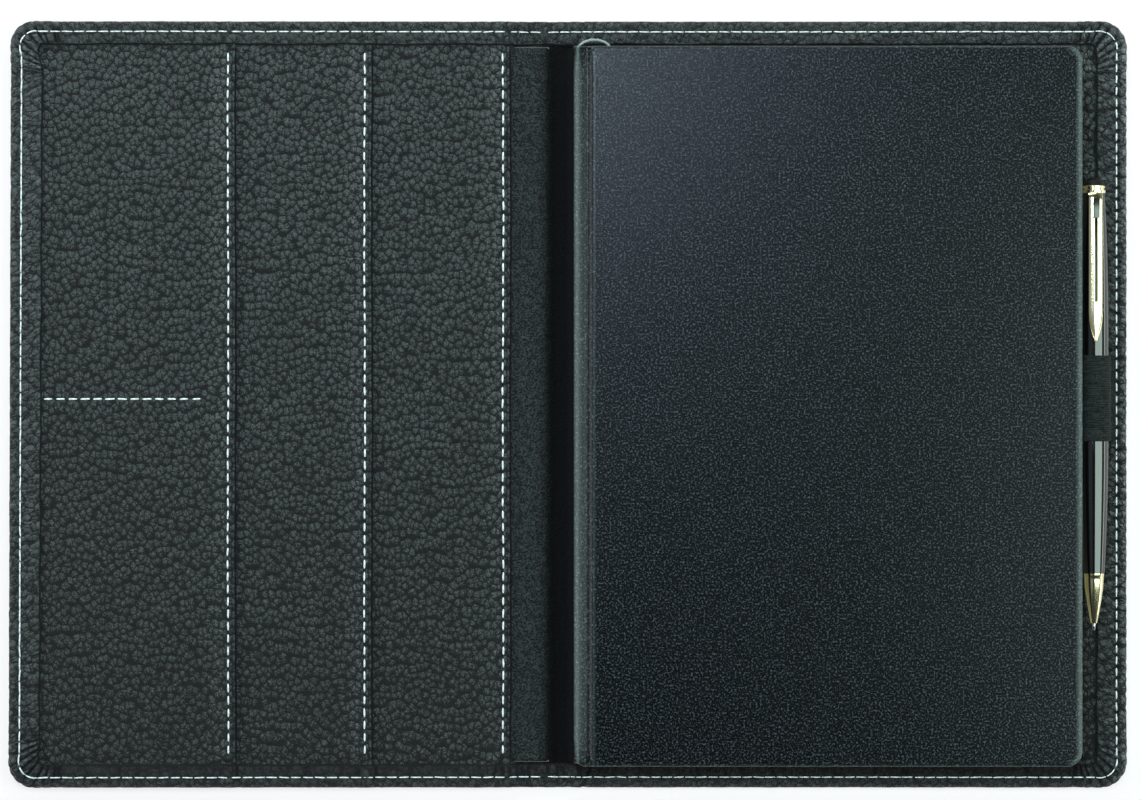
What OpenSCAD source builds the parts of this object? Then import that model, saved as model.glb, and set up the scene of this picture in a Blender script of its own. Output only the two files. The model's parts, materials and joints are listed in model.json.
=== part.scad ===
// Leather folio that holds a notebook and a pen, lying open with its outer leather on z = 0.
// Two stiffened covers fold about a soft spine. The left one carries three stacked pockets, the
// right one the notebook's pocket and the pen loop. +X runs across the spread, +Y to its head.

/* [Notebook] */
// Width of the closed notebook
notebook_w = 150; // [140:1:160]
// Height of the notebook's boards
notebook_h = 213; // [190:1:235]
// Thickness of a covered board
cover_t = 2; // [1.6:0.1:2.5]
// Thickness of the cloth that covers the boards
cloth_t = 0.3; // [0.2:0.05:0.4]
// Thickness of an endpaper
endpaper_t = 0.2; // [0.1:0.05:0.3]
// Thickness of the page block
pages_t = 9.8; // [6:0.2:14]
// How far the pages stay inside the boards
pages_inset = 3; // [2:0.5:4]
// Radius of the notebook's fore edge corners
notebook_corner_r = 4.5; // [2:0.5:7]
// Thickness of the covered spine strip
spine_strip_t = 2; // [1.6:0.1:2.5]
// Width of the groove between the spine strip and a board
joint_w = 3.05; // [2.8:0.05:4]
// Diameter of the headbands
headband_d = 1.6; // [1:0.1:2]
// Width of the ribbon marker
ribbon_w = 2.8; // [2:0.1:4]
// Thickness of the ribbon marker
ribbon_t = 0.5; // [0.3:0.1:0.8]
// Radius of the bend that the ribbon makes over the head of the pages
ribbon_bend_r = 4.2; // [3:0.1:5]

/* [Covers] */
// Width of the left cover, from its fold to the fore edge
left_cover_w = 150.9; // [142:0.1:160]
// Width of the strip beside the notebook, which carries the pen
pen_strip_w = 15.25; // [15:0.25:20]
// Radius of the folio's corners
corner_r = 8; // [6:0.5:12]
// Thickness of the outer leather
leather_t = 1; // [0.8:0.1:1.4]
// Thickness of the leather where it is turned over as a hem
hem_t = 0.8; // [0.6:0.1:1]
// Width of the hem along head and tail
hem_w = 7.2; // [6:0.2:9]
// Width of the hem along the fore edges
hem_side_w = 9.3; // [8.5:0.1:10]
// Thickness of the stiffener boards
stiffener_t = 1.2; // [0.8:0.1:2]
// Width of the stiffener in the spine
spine_stiffener_w = 10.4; // [6:0.2:12]
// Thickness of the lining
lining_t = 0.4; // [0.3:0.1:0.6]
// Space between the closed cover and what lies inside
close_gap = 1.4; // [0.8:0.1:3]

/* [Pockets] */
// Thickness of a pocket panel
sheet_t = 0.8; // [0.6:0.1:1.2]
// Width that each lower pocket shows beside the one above it
pocket_step = 41.4; // [36:0.2:44]
// Distance from the left fold to the document pocket
pocket_fold_gap = 0.7; // [0.4:0.1:3]
// Height that the folded free edge of a pocket stands proud
edge_fold_t = 0.5; // [0.3:0.1:0.7]
// Width of the folded free edge
edge_fold_w = 8; // [5:0.5:12]
// Slack in a pocket
slack_t = 0.3; // [0.2:0.05:0.4]
// Height above the middle at which the card pocket is divided
divider_y = 1.65; // [-30:0.05:30]
// How far the notebook pocket reaches over the back board
notebook_pocket_w = 50; // [30:1:70]

/* [Stitching] */
// Distance from the folio's edge to its seam
seam_inset = 3.2; // [2.6:0.1:4]
// Distance from a pocket's free edge to its seam
edge_seam_inset = 2; // [1.5:0.1:3]
// Width of the thread
thread_w = 0.6; // [0.4:0.1:0.8]
// Height of the thread above the leather
thread_t = 0.25; // [0.15:0.05:0.35]

/* [Pen] */
// Largest radius of the barrel
pen_r = 4.45; // [3.8:0.05:4.8]
// Radius of the barrel at the clip ring
pen_top_r = 3.35; // [3:0.05:3.6]
// Radius of the barrel at the nose cone
pen_nose_r = 3.35; // [3:0.05:3.6]
// Length of the upper barrel
upper_l = 61; // [55:0.5:70]
// Length of the lower barrel
lower_l = 52; // [48:0.5:60]
// Length of the nose cone
nose_l = 15; // [12:0.5:18]
// Length of the clip ring
clip_ring_l = 2.4; // [1.8:0.1:3]
// Height of the domed end cap
cap_h = 2.4; // [1.6:0.1:2.8]
// Width of the clip
clip_w = 4.4; // [3:0.1:5]
// Length of the clip below its ring
clip_l = 44; // [36:0.5:50]
// Thickness of the clip
clip_t = 0.8; // [0.6:0.1:1]
// Space between the clip and the thickest part of the barrel
clip_gap = 0.4; // [0.3:0.05:0.8]
// Width of the slot in the clip
clip_slot_w = 0.7; // [0.5:0.1:1]
// Turn of the clip about the barrel
clip_turn = 6; // [-10:1:10]
// Radius of the refill
refill_r = 1.5; // [1.2:0.1:1.6]
// How far the writing tip stands out
tip_out = 2.1; // [1.5:0.1:3]

/* [Pen loop] */
// Width of the elastic loop
loop_w = 25.5; // [15:0.5:35]
// Thickness of the elastic
loop_t = 0.8; // [0.6:0.1:1]
// Height of the middle of the loop
loop_y = 1.85; // [-20:0.05:20]
// Clearance between the pen and the elastic
loop_gap = 0.2; // [0.15:0.05:0.4]
// Space that the sewn ends of the elastic keep under the loop
loop_lift = 0.3; // [0.2:0.05:0.5]

/* [Hidden] */

leather_colour = "#2f3636";
lining_colour = "#26292a";
cloth_colour = "#2b3238";
thread_colour = "#e8eae6";
board_colour = "#8d8375";
paper_colour = "#efe9da";
gold_colour = "#c9a64a";
lacquer_colour = "#0d0d0f";

fine = 64;          // facets of a circle where the outline is drawn with arcs
seat_gap = 0.1;     // clearance of a piece that lies loose on another
fit_gap = 0.05;     // clearance of a running or glued round fit
tuck_gap = 0.2;     // clearance of a sheet inside the turned edge of the leather
fold_gap = 0.2;     // clearance of each leather from its fold line
slide_gap = 0.15;   // clearance round the back board in its pocket

// Levels above the table
stiffener_z = leather_t;
lining_z = stiffener_z + stiffener_t;
inside_z = lining_z + lining_t;
document_z = inside_z;
middle_z = document_z + sheet_t;
card_z = middle_z + sheet_t;
left_hem_z = card_z + sheet_t;
left_top_z = left_hem_z + hem_t;
hinge_z = inside_z + seat_gap;
notebook_z = inside_z + seat_gap;
pages_z = notebook_z + cover_t;
pages_top_z = pages_z + pages_t;
front_z = pages_top_z + 2 * seat_gap;
notebook_top_z = front_z + cover_t;
pocket_sheet_z = pages_z + seat_gap;
pocket_top_z = pocket_sheet_z + sheet_t;
strip_top_z = inside_z + sheet_t + hem_t;

loop_r = pen_r + loop_gap + loop_t;
pen_z = strip_top_z + loop_lift + loop_r;
pen_top_z = pen_z + pen_r + clip_gap + clip_t;

// Heights along the spread
board_half = notebook_h / 2;
pocket_half = board_half + slide_gap;
hem_half = pocket_half + sheet_t + seat_gap;
folio_half = hem_half + hem_w;

// Widths of the folio. Its spine lets the left cover close flat over what lies inside
notebook_offset = 0.35;
right_cover_w = notebook_offset + notebook_w + pen_strip_w;
spine_w = max(notebook_top_z, pen_top_z) + close_gap + left_top_z - 2 * hinge_z;
folio_w = left_cover_w + spine_w + right_cover_w;
left_fold_x = left_cover_w - folio_w / 2;
right_fold_x = left_fold_x + spine_w;

// Free edges of the pockets, from the left fold
document_u = pocket_fold_gap;
middle_u = document_u + pocket_step;
card_u = middle_u + pocket_step;

// The notebook, across the spread
notebook_x = right_fold_x + notebook_offset;
board_x = notebook_x + spine_strip_t + joint_w;
notebook_end_x = notebook_x + notebook_w;
pages_end_x = notebook_end_x - pages_inset;
pages_half = board_half - pages_inset;
board_reach = notebook_end_x - right_fold_x + slide_gap;
notebook_pocket_u = board_reach + sheet_t - notebook_pocket_w;
pages_step_x = right_fold_x + notebook_pocket_u - 2 * slide_gap;

// The pen, beside the notebook
pen_x = notebook_end_x + pen_r + slide_gap;
mechanism_r = 2.65;
spigot_r = 2.9;
spigot_l = 8.5;
band_l = 2;
band_seat_r = 4 * pen_r / 4.45;
straight_l = 16;
nose_r = pen_nose_r - 0.3;
nose_end_r = 1;
tip_r = 0.6;
tip_neck_r = 1.1;
refill_end = 59.85 + nose_l - 15 + lower_l - 52;

// ---------- shared shapes ----------

// A flat outline from u = 0 to w with its two far corners rounded
module tab_plan(w, half, r) {
    translate([0, -half]) square([w - r, 2 * half]);
    translate([w - r, -(half - r)]) square([r, 2 * (half - r)]);
    for (side = [-1, 1])
        translate([w - r, side * (half - r)]) circle(r, $fn = fine);
}

// The outline of a cover, drawn in by an inset, with u measured from its fold
module cover_plan(w, inset) {
    tab_plan(w - inset, folio_half - inset, max(corner_r - inset, 0.5));
}

// Everything between u0 and u1
module between(u0, u1) {
    translate([u0, -folio_half - 1]) square([u1 - u0, 2 * folio_half + 2]);
}

// A box across the spread
module slab(x0, x1, half, z0, z1) {
    translate([x0, -half, z0]) cube([x1 - x0, 2 * half, z1 - z0]);
}

// A flat layer of a cover from u0 to its turned edge
module layer(w, u0, z, t) {
    translate([0, 0, z]) linear_extrude(t) intersection() {
        cover_plan(w, leather_t + tuck_gap);
        between(u0, w);
    }
}

// The hem's outline on a cover between u0 and u1
module hem_plan(w, u0, u1) {
    intersection() {
        difference() {
            cover_plan(w, 0);
            translate([-1, -hem_half]) square([w - hem_side_w + 1, 2 * hem_half]);
        }
        between(u0, u1);
    }
}

// Outer leather of a cover, turned over its layers. Each step is [from, to, level under the hem]
module cover_leather(w, steps) {
    linear_extrude(leather_t) intersection() {
        cover_plan(w, 0);
        between(fold_gap, w);
    }
    for (step = steps) {
        translate([0, 0, leather_t]) linear_extrude(step[2] - leather_t) intersection() {
            difference() {
                cover_plan(w, 0);
                cover_plan(w, leather_t);
            }
            between(step[0], step[1]);
        }
        translate([0, 0, step[2]]) linear_extrude(hem_t) hem_plan(w, step[0], step[1]);
    }
    for (i = [1 : len(steps) - 1])
        translate([0, 0, steps[i - 1][2]])
            linear_extrude(steps[i][2] + hem_t - steps[i - 1][2])
                hem_plan(w, steps[i][0] - hem_t, steps[i][0]);
}

// The thread that sews a cover's hem down, over the same steps
module hem_thread(w, steps) {
    for (i = [0 : len(steps) - 1])
        translate([0, 0, steps[i][2] + hem_t]) linear_extrude(thread_t) intersection() {
            difference() {
                cover_plan(w, seam_inset - thread_w / 2);
                cover_plan(w, seam_inset + thread_w / 2);
            }
            between(steps[i][0] + seat_gap,
                    i < len(steps) - 1 ? steps[i][1] - hem_t - seat_gap : w);
        }
}

// A pocket panel with a folded free edge at u0, and slack under it. Its ribs are [from, to] along y
module pocket(u0, z, mouths) {
    difference() {
        union() {
            layer(left_cover_w, u0, z, sheet_t);
            translate([u0, hem_half - seat_gap, z + sheet_t]) rotate([90, 0, 0])
                linear_extrude(2 * (hem_half - seat_gap))
                    polygon([[0, 0], [edge_fold_w, 0], [edge_fold_w * 0.6, edge_fold_t],
                             [edge_fold_t / 2, edge_fold_t], [0, edge_fold_t / 2]]);
        }
        for (mouth = mouths)
            translate([u0 - 1, mouth[0], z - 1])
                cube([left_cover_w - hem_side_w - u0 + 1, mouth[1] - mouth[0], slack_t + 1]);
    }
}

// The seam along a pocket's free edge
module pocket_thread(u0, z) {
    slab(u0 + edge_seam_inset - thread_w / 2, u0 + edge_seam_inset + thread_w / 2,
         hem_half - 2 * seat_gap, z + sheet_t + edge_fold_t, z + sheet_t + edge_fold_t + thread_t);
}

module left_frame() {
    translate([left_fold_x, 0, 0]) mirror([1, 0, 0]) children();
}

module right_frame() {
    translate([right_fold_x, 0, 0]) children();
}

// ---------- left cover ----------

left_steps = [
    [fold_gap, middle_u, document_z + sheet_t],
    [middle_u, card_u, middle_z + sheet_t],
    [card_u, left_cover_w, card_z + sheet_t]
];
full_mouth = [[-hem_half + slide_gap, hem_half - slide_gap]];
divider_half = 1;
card_mouths = [
    [-hem_half + slide_gap, divider_y - divider_half],
    [divider_y + divider_half, hem_half - slide_gap]
];

module left_cover_leather() {
    color(leather_colour) left_frame() cover_leather(left_cover_w, left_steps);
}

module left_cover_stiffener() {
    color(board_colour) left_frame() layer(left_cover_w, 2 * fold_gap, stiffener_z, stiffener_t);
}

module left_cover_lining() {
    color(lining_colour) left_frame() layer(left_cover_w, fold_gap, lining_z, lining_t);
}

module document_pocket() {
    color(leather_colour) left_frame() pocket(document_u, document_z, full_mouth);
}

module middle_pocket() {
    color(leather_colour) left_frame() pocket(middle_u, middle_z, full_mouth);
}

module card_pocket() {
    color(leather_colour) left_frame() pocket(card_u, card_z, card_mouths);
}

module left_hem_thread() {
    color(thread_colour) left_frame() hem_thread(left_cover_w, left_steps);
}

module document_pocket_thread() {
    color(thread_colour) left_frame() pocket_thread(document_u, document_z);
}

module middle_pocket_thread() {
    color(thread_colour) left_frame() pocket_thread(middle_u, middle_z);
}

module card_pocket_thread() {
    color(thread_colour) left_frame() pocket_thread(card_u, card_z);
}

module card_divider_thread() {
    color(thread_colour) left_frame()
        translate([card_u + edge_fold_w + seat_gap, divider_y - thread_w / 2, card_z + sheet_t])
            cube([left_cover_w - hem_side_w - card_u - edge_fold_w - 2 * seat_gap,
                  thread_w, thread_t]);
}

// ---------- spine ----------

spine_hem_z = leather_t + lining_t;

// A layer along the head and the tail of the spine
module spine_ends(y0, y1, z, t) {
    for (side = [0, 1]) mirror([0, side, 0])
        translate([left_fold_x + fold_gap, y0, z])
            cube([spine_w - 2 * fold_gap, y1 - y0, t]);
}

module spine_leather() {
    color(leather_colour) {
        slab(left_fold_x + fold_gap, right_fold_x - fold_gap, folio_half, 0, leather_t);
        spine_ends(folio_half - leather_t, folio_half, leather_t, lining_t);
        spine_ends(hem_half, folio_half, spine_hem_z, hem_t);
    }
}

module spine_stiffener() {
    color(board_colour)
        slab(left_fold_x + 3 * fold_gap, left_fold_x + 3 * fold_gap + spine_stiffener_w,
             hem_half - tuck_gap - lining_t, stiffener_z, lining_z);
}

module spine_lining() {
    raised_end = left_fold_x + 3 * fold_gap + spine_stiffener_w + lining_t;
    color(lining_colour) difference() {
        union() {
            slab(left_fold_x + fold_gap, raised_end, hem_half - tuck_gap, leather_t, inside_z);
            slab(left_fold_x + fold_gap, right_fold_x - fold_gap, hem_half - tuck_gap,
                 leather_t, spine_hem_z);
            spine_ends(hem_half - tuck_gap, folio_half - leather_t - tuck_gap, leather_t, lining_t);
        }
        slab(left_fold_x + fold_gap - 1, raised_end - lining_t, hem_half - tuck_gap - lining_t,
             leather_t - 1, lining_z);
    }
}

module spine_hem_thread() {
    color(thread_colour)
        spine_ends(folio_half - seam_inset - thread_w / 2, folio_half - seam_inset + thread_w / 2,
                   spine_hem_z + hem_t, thread_t);
}

// ---------- right cover ----------

right_steps = [
    [fold_gap, notebook_pocket_u, inside_z],
    [notebook_pocket_u, right_cover_w, inside_z + sheet_t]
];

module right_cover_leather() {
    color(leather_colour) right_frame() cover_leather(right_cover_w, right_steps);
}

module right_cover_stiffener() {
    color(board_colour) right_frame() layer(right_cover_w, 2 * fold_gap, stiffener_z, stiffener_t);
}

module right_cover_lining() {
    color(lining_colour) right_frame() layer(right_cover_w, fold_gap, lining_z, lining_t);
}

// The pocket over the notebook's back board, sewn down under the hem on its other three sides
module notebook_pocket() {
    color(leather_colour) right_frame() difference() {
        union() {
            layer(right_cover_w, notebook_pocket_u, inside_z, sheet_t);
            slab(notebook_pocket_u, board_reach + sheet_t, pocket_half + sheet_t,
                 inside_z, pocket_top_z);
        }
        slab(notebook_pocket_u - 1, board_reach, pocket_half, inside_z - 1, pocket_sheet_z);
    }
}

module right_hem_thread() {
    color(thread_colour) right_frame() hem_thread(right_cover_w, right_steps);
}

// An elastic band round the pen, its two ends sewn flat to the hem beside the seam
module pen_loop() {
    foot_end = folio_w / 2 - seam_inset - thread_w / 2 - seat_gap;
    color("#1d2221") translate([0, loop_y - loop_w / 2, 0]) difference() {
        union() {
            translate([pen_x, 0, pen_z]) rotate([-90, 0, 0]) cylinder(h = loop_w, r = loop_r, $fn = fine);
            translate([pen_x, 0, strip_top_z]) cube([foot_end - pen_x, loop_w, loop_t]);
        }
        translate([pen_x, -1, pen_z]) rotate([-90, 0, 0])
            cylinder(h = loop_w + 2, r = pen_r + loop_gap, $fn = fine);
    }
}

// ---------- notebook ----------

// A board's outline, drawn in by an inset on its three outer sides
module board_plan(inset) {
    translate([board_x, 0])
        tab_plan(notebook_end_x - board_x - inset, board_half - inset,
                 max(notebook_corner_r - inset, 0.5));
}

// Cloth over a board's outer face and turned round its edges, drawn with its outer face down
module board_cloth() {
    difference() {
        linear_extrude(cover_t) board_plan(0);
        translate([0, 0, cloth_t]) linear_extrude(cover_t) board_plan(cloth_t);
    }
}

module board_core() {
    translate([0, 0, cloth_t]) linear_extrude(cover_t - cloth_t - endpaper_t) board_plan(cloth_t);
}

module board_endpaper() {
    translate([0, 0, cover_t - endpaper_t]) linear_extrude(endpaper_t) board_plan(cloth_t);
}

module back_frame() {
    translate([0, 0, notebook_z]) children();
}

module front_frame() {
    translate([0, 0, notebook_top_z]) mirror([0, 0, 1]) children();
}

module notebook_front_board() {
    color(board_colour) front_frame() board_core();
}

module notebook_front_cloth() {
    color(cloth_colour) front_frame() board_cloth();
}

module notebook_front_endpaper() {
    color(paper_colour) front_frame() board_endpaper();
}

module notebook_back_board() {
    color(board_colour) back_frame() board_core();
}

module notebook_back_cloth() {
    color(cloth_colour) back_frame() board_cloth();
}

module notebook_back_endpaper() {
    color(paper_colour) back_frame() board_endpaper();
}

// Outline of the spine across its thickness with both ends rounded, as x and z
module spine_section(inset) {
    r = spine_strip_t / 2 - inset;
    z0 = notebook_z + inset + r;
    z1 = notebook_top_z - inset - r;
    translate([notebook_x + inset, z0]) square([2 * r, z1 - z0]);
    for (z = [z0, z1])
        translate([notebook_x + inset + r, z]) circle(r, $fn = fine);
}

module along_spine(half) {
    translate([0, half, 0]) rotate([90, 0, 0]) linear_extrude(2 * half) children();
}

module notebook_spine_strip() {
    color(board_colour) along_spine(board_half - cloth_t) spine_section(cloth_t);
}

// Cloth round the spine strip, with a tongue in each groove. The back one meets the back board
module notebook_spine_cloth() {
    tongue_x = notebook_x + spine_strip_t - cloth_t;
    color(cloth_colour) difference() {
        union() {
            along_spine(board_half) spine_section(0);
            slab(tongue_x, board_x - 2 * seat_gap, board_half,
                 pages_top_z + seat_gap, pages_top_z + seat_gap + cloth_t);
            slab(tongue_x, board_x, board_half, pages_z - seat_gap - cloth_t, pages_z - seat_gap);
        }
        along_spine(board_half - cloth_t) spine_section(cloth_t);
    }
}

// Sewn and trimmed pages. Their last leaves rise over the notebook pocket, which keeps a step there
module page_block() {
    color(paper_colour) difference() {
        slab(notebook_x + spine_strip_t, pages_end_x, pages_half, pages_z, pages_top_z);
        slab(pages_step_x, pages_end_x + 1, pages_half + 1, pages_z - 1, pocket_top_z + slide_gap);
    }
}

// A corded band at one end of the page block's spine
module spine_band(side) {
    translate([notebook_x + spine_strip_t + headband_d / 2,
               side * (pages_half + headband_d / 2 + fit_gap), pages_z + seat_gap])
        cylinder(h = pages_t - 2 * seat_gap, d = headband_d, $fn = fine);
}

module head_band() {
    color(paper_colour) spine_band(1);
}

module tail_band() {
    color(paper_colour) spine_band(-1);
}

// A ribbon that bends over the head of the pages, just under the front board
module ribbon_marker() {
    bend_x = notebook_x + spine_strip_t + headband_d + ribbon_bend_r + 2 * seat_gap;
    color("#9aa3a2") translate([bend_x, pages_half + fit_gap, pages_top_z - ribbon_w - seat_gap])
        linear_extrude(ribbon_w) difference() {
            circle(ribbon_bend_r, $fn = fine);
            circle(ribbon_bend_r - ribbon_t, $fn = fine);
            translate([-ribbon_bend_r - 1, -2 * ribbon_bend_r])
                square([2 * ribbon_bend_r + 2, 2 * ribbon_bend_r]);
        }
}

// ---------- pen ----------

// The pen's own frame: z runs to its cap from the joint between its barrels, and -y points up
module pen_frame() {
    translate([pen_x, loop_y, pen_z]) rotate([-90, 0, 0]) children();
}

// Radii along a barrel that is straight at first and then narrows, as [r, z]
function barrel_curve(end_r, length, power, count = 12) = [
    for (i = [0 : count])
        [pen_r - (pen_r - end_r) * pow(i / count, power),
         straight_l + (length - straight_l) * i / count]
];

module pen_upper_barrel() {
    color(lacquer_colour) pen_frame() rotate_extrude($fn = fine)
        polygon(concat(
            [[spigot_r + fit_gap, 0], [band_seat_r, 0], [band_seat_r, band_l], [pen_r, band_l]],
            barrel_curve(pen_top_r, upper_l, 2.4),
            [[0, upper_l], [0, upper_l - 4], [mechanism_r, upper_l - 4],
             [mechanism_r, spigot_l + 0.5], [spigot_r + fit_gap, spigot_l + 0.5]]));
}

module pen_centre_band() {
    color(gold_colour) pen_frame() difference() {
        cylinder(h = band_l - fit_gap, r = pen_r + fit_gap, $fn = fine);
        translate([0, 0, -1]) cylinder(h = band_l + 2, r = band_seat_r + fit_gap / 2, $fn = fine);
    }
}

// Turned ring with a groove round its middle
module pen_clip_ring() {
    color(gold_colour) pen_frame() translate([0, 0, upper_l]) rotate_extrude($fn = fine)
        polygon([[0, 0], [pen_top_r + 0.1, 0], [pen_top_r + 0.1, clip_ring_l * 0.4],
                 [pen_top_r - 0.2, clip_ring_l * 0.45], [pen_top_r - 0.2, clip_ring_l * 0.55],
                 [pen_top_r + 0.05, clip_ring_l * 0.6], [pen_top_r, clip_ring_l],
                 [0, clip_ring_l]]);
}

module pen_end_cap() {
    base_r = pen_top_r - 0.05;
    dome_r = (base_r * base_r + cap_h * cap_h) / (2 * cap_h);
    color(lacquer_colour) pen_frame() translate([0, 0, upper_l + clip_ring_l]) intersection() {
        translate([0, 0, cap_h - dome_r]) sphere(dome_r, $fn = fine);
        cylinder(h = cap_h + 1, r = base_r + 1, $fn = fine);
    }
}

// Spring clip with a slot and a pointed end, standing on the clip ring, with a ball over the barrel
module pen_clip() {
    root_z = upper_l + clip_ring_l * 0.1;
    tip_z = upper_l - clip_l;
    slot_low = tip_z + clip_l * 0.26;
    slot_high = upper_l - clip_l * 0.16;
    plate_y = pen_r + clip_gap;
    ball_r = clip_gap + 0.3;
    color(gold_colour) pen_frame() rotate([0, 0, clip_turn]) {
        translate([0, -plate_y, 0]) rotate([90, 0, 0]) linear_extrude(clip_t) difference() {
            polygon([[-clip_w / 2, upper_l + clip_ring_l * 0.9], [-clip_w / 2, tip_z + clip_l * 0.2],
                     [-0.5, tip_z], [0.5, tip_z], [clip_w / 2, tip_z + clip_l * 0.2],
                     [clip_w / 2, upper_l + clip_ring_l * 0.9]]);
            translate([-clip_slot_w / 2, slot_low]) square([clip_slot_w, slot_high - slot_low]);
        }
        translate([-clip_w / 2, -plate_y, root_z])
            cube([clip_w, plate_y - pen_top_r - 0.3, clip_ring_l * 0.8]);
        translate([0, 0, tip_z + 4]) intersection() {
            translate([0, -plate_y, 0]) sphere(ball_r, $fn = fine);
            translate([-1, -plate_y - clip_t / 2, -1]) cube([2, clip_t / 2 + clip_gap - 0.1, 2]);
        }
    }
}

module pen_twist_mechanism() {
    color("#b8b2a0") pen_frame() difference() {
        translate([0, 0, 14]) cylinder(h = upper_l - 4 - 14 - fit_gap, r = mechanism_r - fit_gap, $fn = fine);
        translate([0, 0, 13]) cylinder(h = upper_l - 4 - 14, r = refill_r + 0.15, $fn = fine);
    }
}

module pen_lower_barrel() {
    color(lacquer_colour) pen_frame() rotate([180, 0, 0]) rotate_extrude($fn = fine)
        polygon(concat(
            [[refill_r + 0.3, -spigot_l], [spigot_r, -spigot_l], [spigot_r, fit_gap],
             [pen_r, fit_gap]],
            barrel_curve(pen_nose_r, lower_l, 1.6),
            [[refill_r + 0.3, lower_l]]));
}

// Radii of the nose cone from the barrel to its end, as [r, z]
nose_curve = [
    for (i = [0 : 10])
        [nose_end_r + (nose_r - nose_end_r) * (1 - pow(i / 10, 1.6)), lower_l + nose_l * i / 10]
];

module pen_nose_cone() {
    color(gold_colour) pen_frame() rotate([180, 0, 0]) rotate_extrude($fn = fine)
        polygon(concat(
            nose_curve,
            [[tip_r + 0.1, lower_l + nose_l], [tip_r + 0.1, lower_l + nose_l - 2.2],
             [tip_neck_r + 0.1, lower_l + nose_l - 2.2], [tip_neck_r + 0.1, refill_end + 0.3],
             [refill_r + 0.3, refill_end + 0.3], [refill_r + 0.3, lower_l]]));
}

module refill_tube() {
    color("#b8b2a0") pen_frame() translate([0, 0, -refill_end])
        cylinder(h = refill_end + 18, r = refill_r, $fn = fine);
}

module refill_tip() {
    shoulder = lower_l + nose_l - 2.5;
    color("#c8ccd0") pen_frame() rotate([180, 0, 0]) rotate_extrude($fn = fine)
        polygon([[0, refill_end], [tip_neck_r, refill_end], [tip_neck_r, shoulder - 0.8],
                 [tip_r, shoulder], [tip_r, lower_l + nose_l + tip_out - 1.2],
                 [0.35, lower_l + nose_l + tip_out], [0, lower_l + nose_l + tip_out]]);
}

left_cover_leather();
left_cover_stiffener();
left_cover_lining();
document_pocket();
middle_pocket();
card_pocket();
left_hem_thread();
document_pocket_thread();
middle_pocket_thread();
card_pocket_thread();
card_divider_thread();
spine_leather();
spine_stiffener();
spine_lining();
spine_hem_thread();
right_cover_leather();
right_cover_stiffener();
right_cover_lining();
notebook_pocket();
right_hem_thread();
pen_loop();
notebook_front_board();
notebook_front_cloth();
notebook_front_endpaper();
notebook_back_board();
notebook_back_cloth();
notebook_back_endpaper();
notebook_spine_strip();
notebook_spine_cloth();
page_block();
head_band();
tail_band();
ribbon_marker();
pen_upper_barrel();
pen_clip_ring();
pen_end_cap();
pen_clip();
pen_centre_band();
pen_twist_mechanism();
pen_lower_barrel();
pen_nose_cone();
refill_tube();
refill_tip();
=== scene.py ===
import json
import math

import bmesh
import bpy
import numpy as np
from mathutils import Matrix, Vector


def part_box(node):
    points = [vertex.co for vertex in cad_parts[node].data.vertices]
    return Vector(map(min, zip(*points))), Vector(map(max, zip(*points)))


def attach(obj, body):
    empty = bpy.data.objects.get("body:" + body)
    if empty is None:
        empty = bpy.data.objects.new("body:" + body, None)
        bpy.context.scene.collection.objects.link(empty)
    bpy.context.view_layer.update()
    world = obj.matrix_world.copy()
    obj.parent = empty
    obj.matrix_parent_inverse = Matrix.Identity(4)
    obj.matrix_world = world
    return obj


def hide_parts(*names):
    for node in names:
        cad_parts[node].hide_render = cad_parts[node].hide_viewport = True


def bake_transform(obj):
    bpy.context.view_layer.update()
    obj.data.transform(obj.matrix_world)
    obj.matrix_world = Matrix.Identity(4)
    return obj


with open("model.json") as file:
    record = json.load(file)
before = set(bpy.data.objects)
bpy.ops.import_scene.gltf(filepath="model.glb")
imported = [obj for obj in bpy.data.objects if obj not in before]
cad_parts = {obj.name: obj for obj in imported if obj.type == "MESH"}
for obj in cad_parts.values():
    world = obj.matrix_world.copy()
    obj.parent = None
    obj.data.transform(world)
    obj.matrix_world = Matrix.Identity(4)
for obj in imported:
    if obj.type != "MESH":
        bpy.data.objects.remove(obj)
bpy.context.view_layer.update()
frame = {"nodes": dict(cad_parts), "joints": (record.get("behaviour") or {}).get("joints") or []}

MM = 0.001

# ---------- measures, in millimetres, from the frame ----------


def span(node):
    """Lowest and highest corner of a node, in millimetres."""
    low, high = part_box(node)
    return np.array(low) / MM, np.array(high) / MM


def fold_place(name):
    """Where a joint's axis stands, in millimetres."""
    joint = next(j for j in frame["joints"] if j["name"] == name)
    return np.array(joint["pos_m"]) / MM


LEFT_LOW, LEFT_HIGH = span("left_cover_leather")
RIGHT_HIGH = span("right_cover_leather")[1]
SPINE_LOW, SPINE_HIGH = span("spine_leather")
DOCUMENT_LOW, DOCUMENT_HIGH = span("document_pocket")
MIDDLE_LOW, MIDDLE_HIGH = span("middle_pocket")
CARD_LOW, CARD_HIGH = span("card_pocket")
FLAP_LOW, FLAP_HIGH = span("notebook_pocket")
THREAD_HIGH = span("left_hem_thread")[1]
DIVIDER_LOW, DIVIDER_HIGH = span("card_divider_thread")
BOOK_LOW, BOOK_HIGH = span("notebook_spine_cloth")
FRONT_LOW, FRONT_HIGH = span("notebook_front_cloth")
BACK_HIGH = span("notebook_back_cloth")[1]
PAGES_LOW, PAGES_HIGH = span("page_block")
RIBBON_LOW, RIBBON_HIGH = span("ribbon_marker")
LOOP_LOW, LOOP_HIGH = span("pen_loop")
UPPER_LOW, UPPER_HIGH = span("pen_upper_barrel")
LOWER_LOW = span("pen_lower_barrel")[0]
NOSE_LOW = span("pen_nose_cone")[0]
RING_LOW, RING_HIGH = span("pen_clip_ring")
CAP_HIGH = span("pen_end_cap")[1]
BAND_HIGH = span("pen_centre_band")[1]
CLIP_LOW = span("pen_clip")[0]

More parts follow.
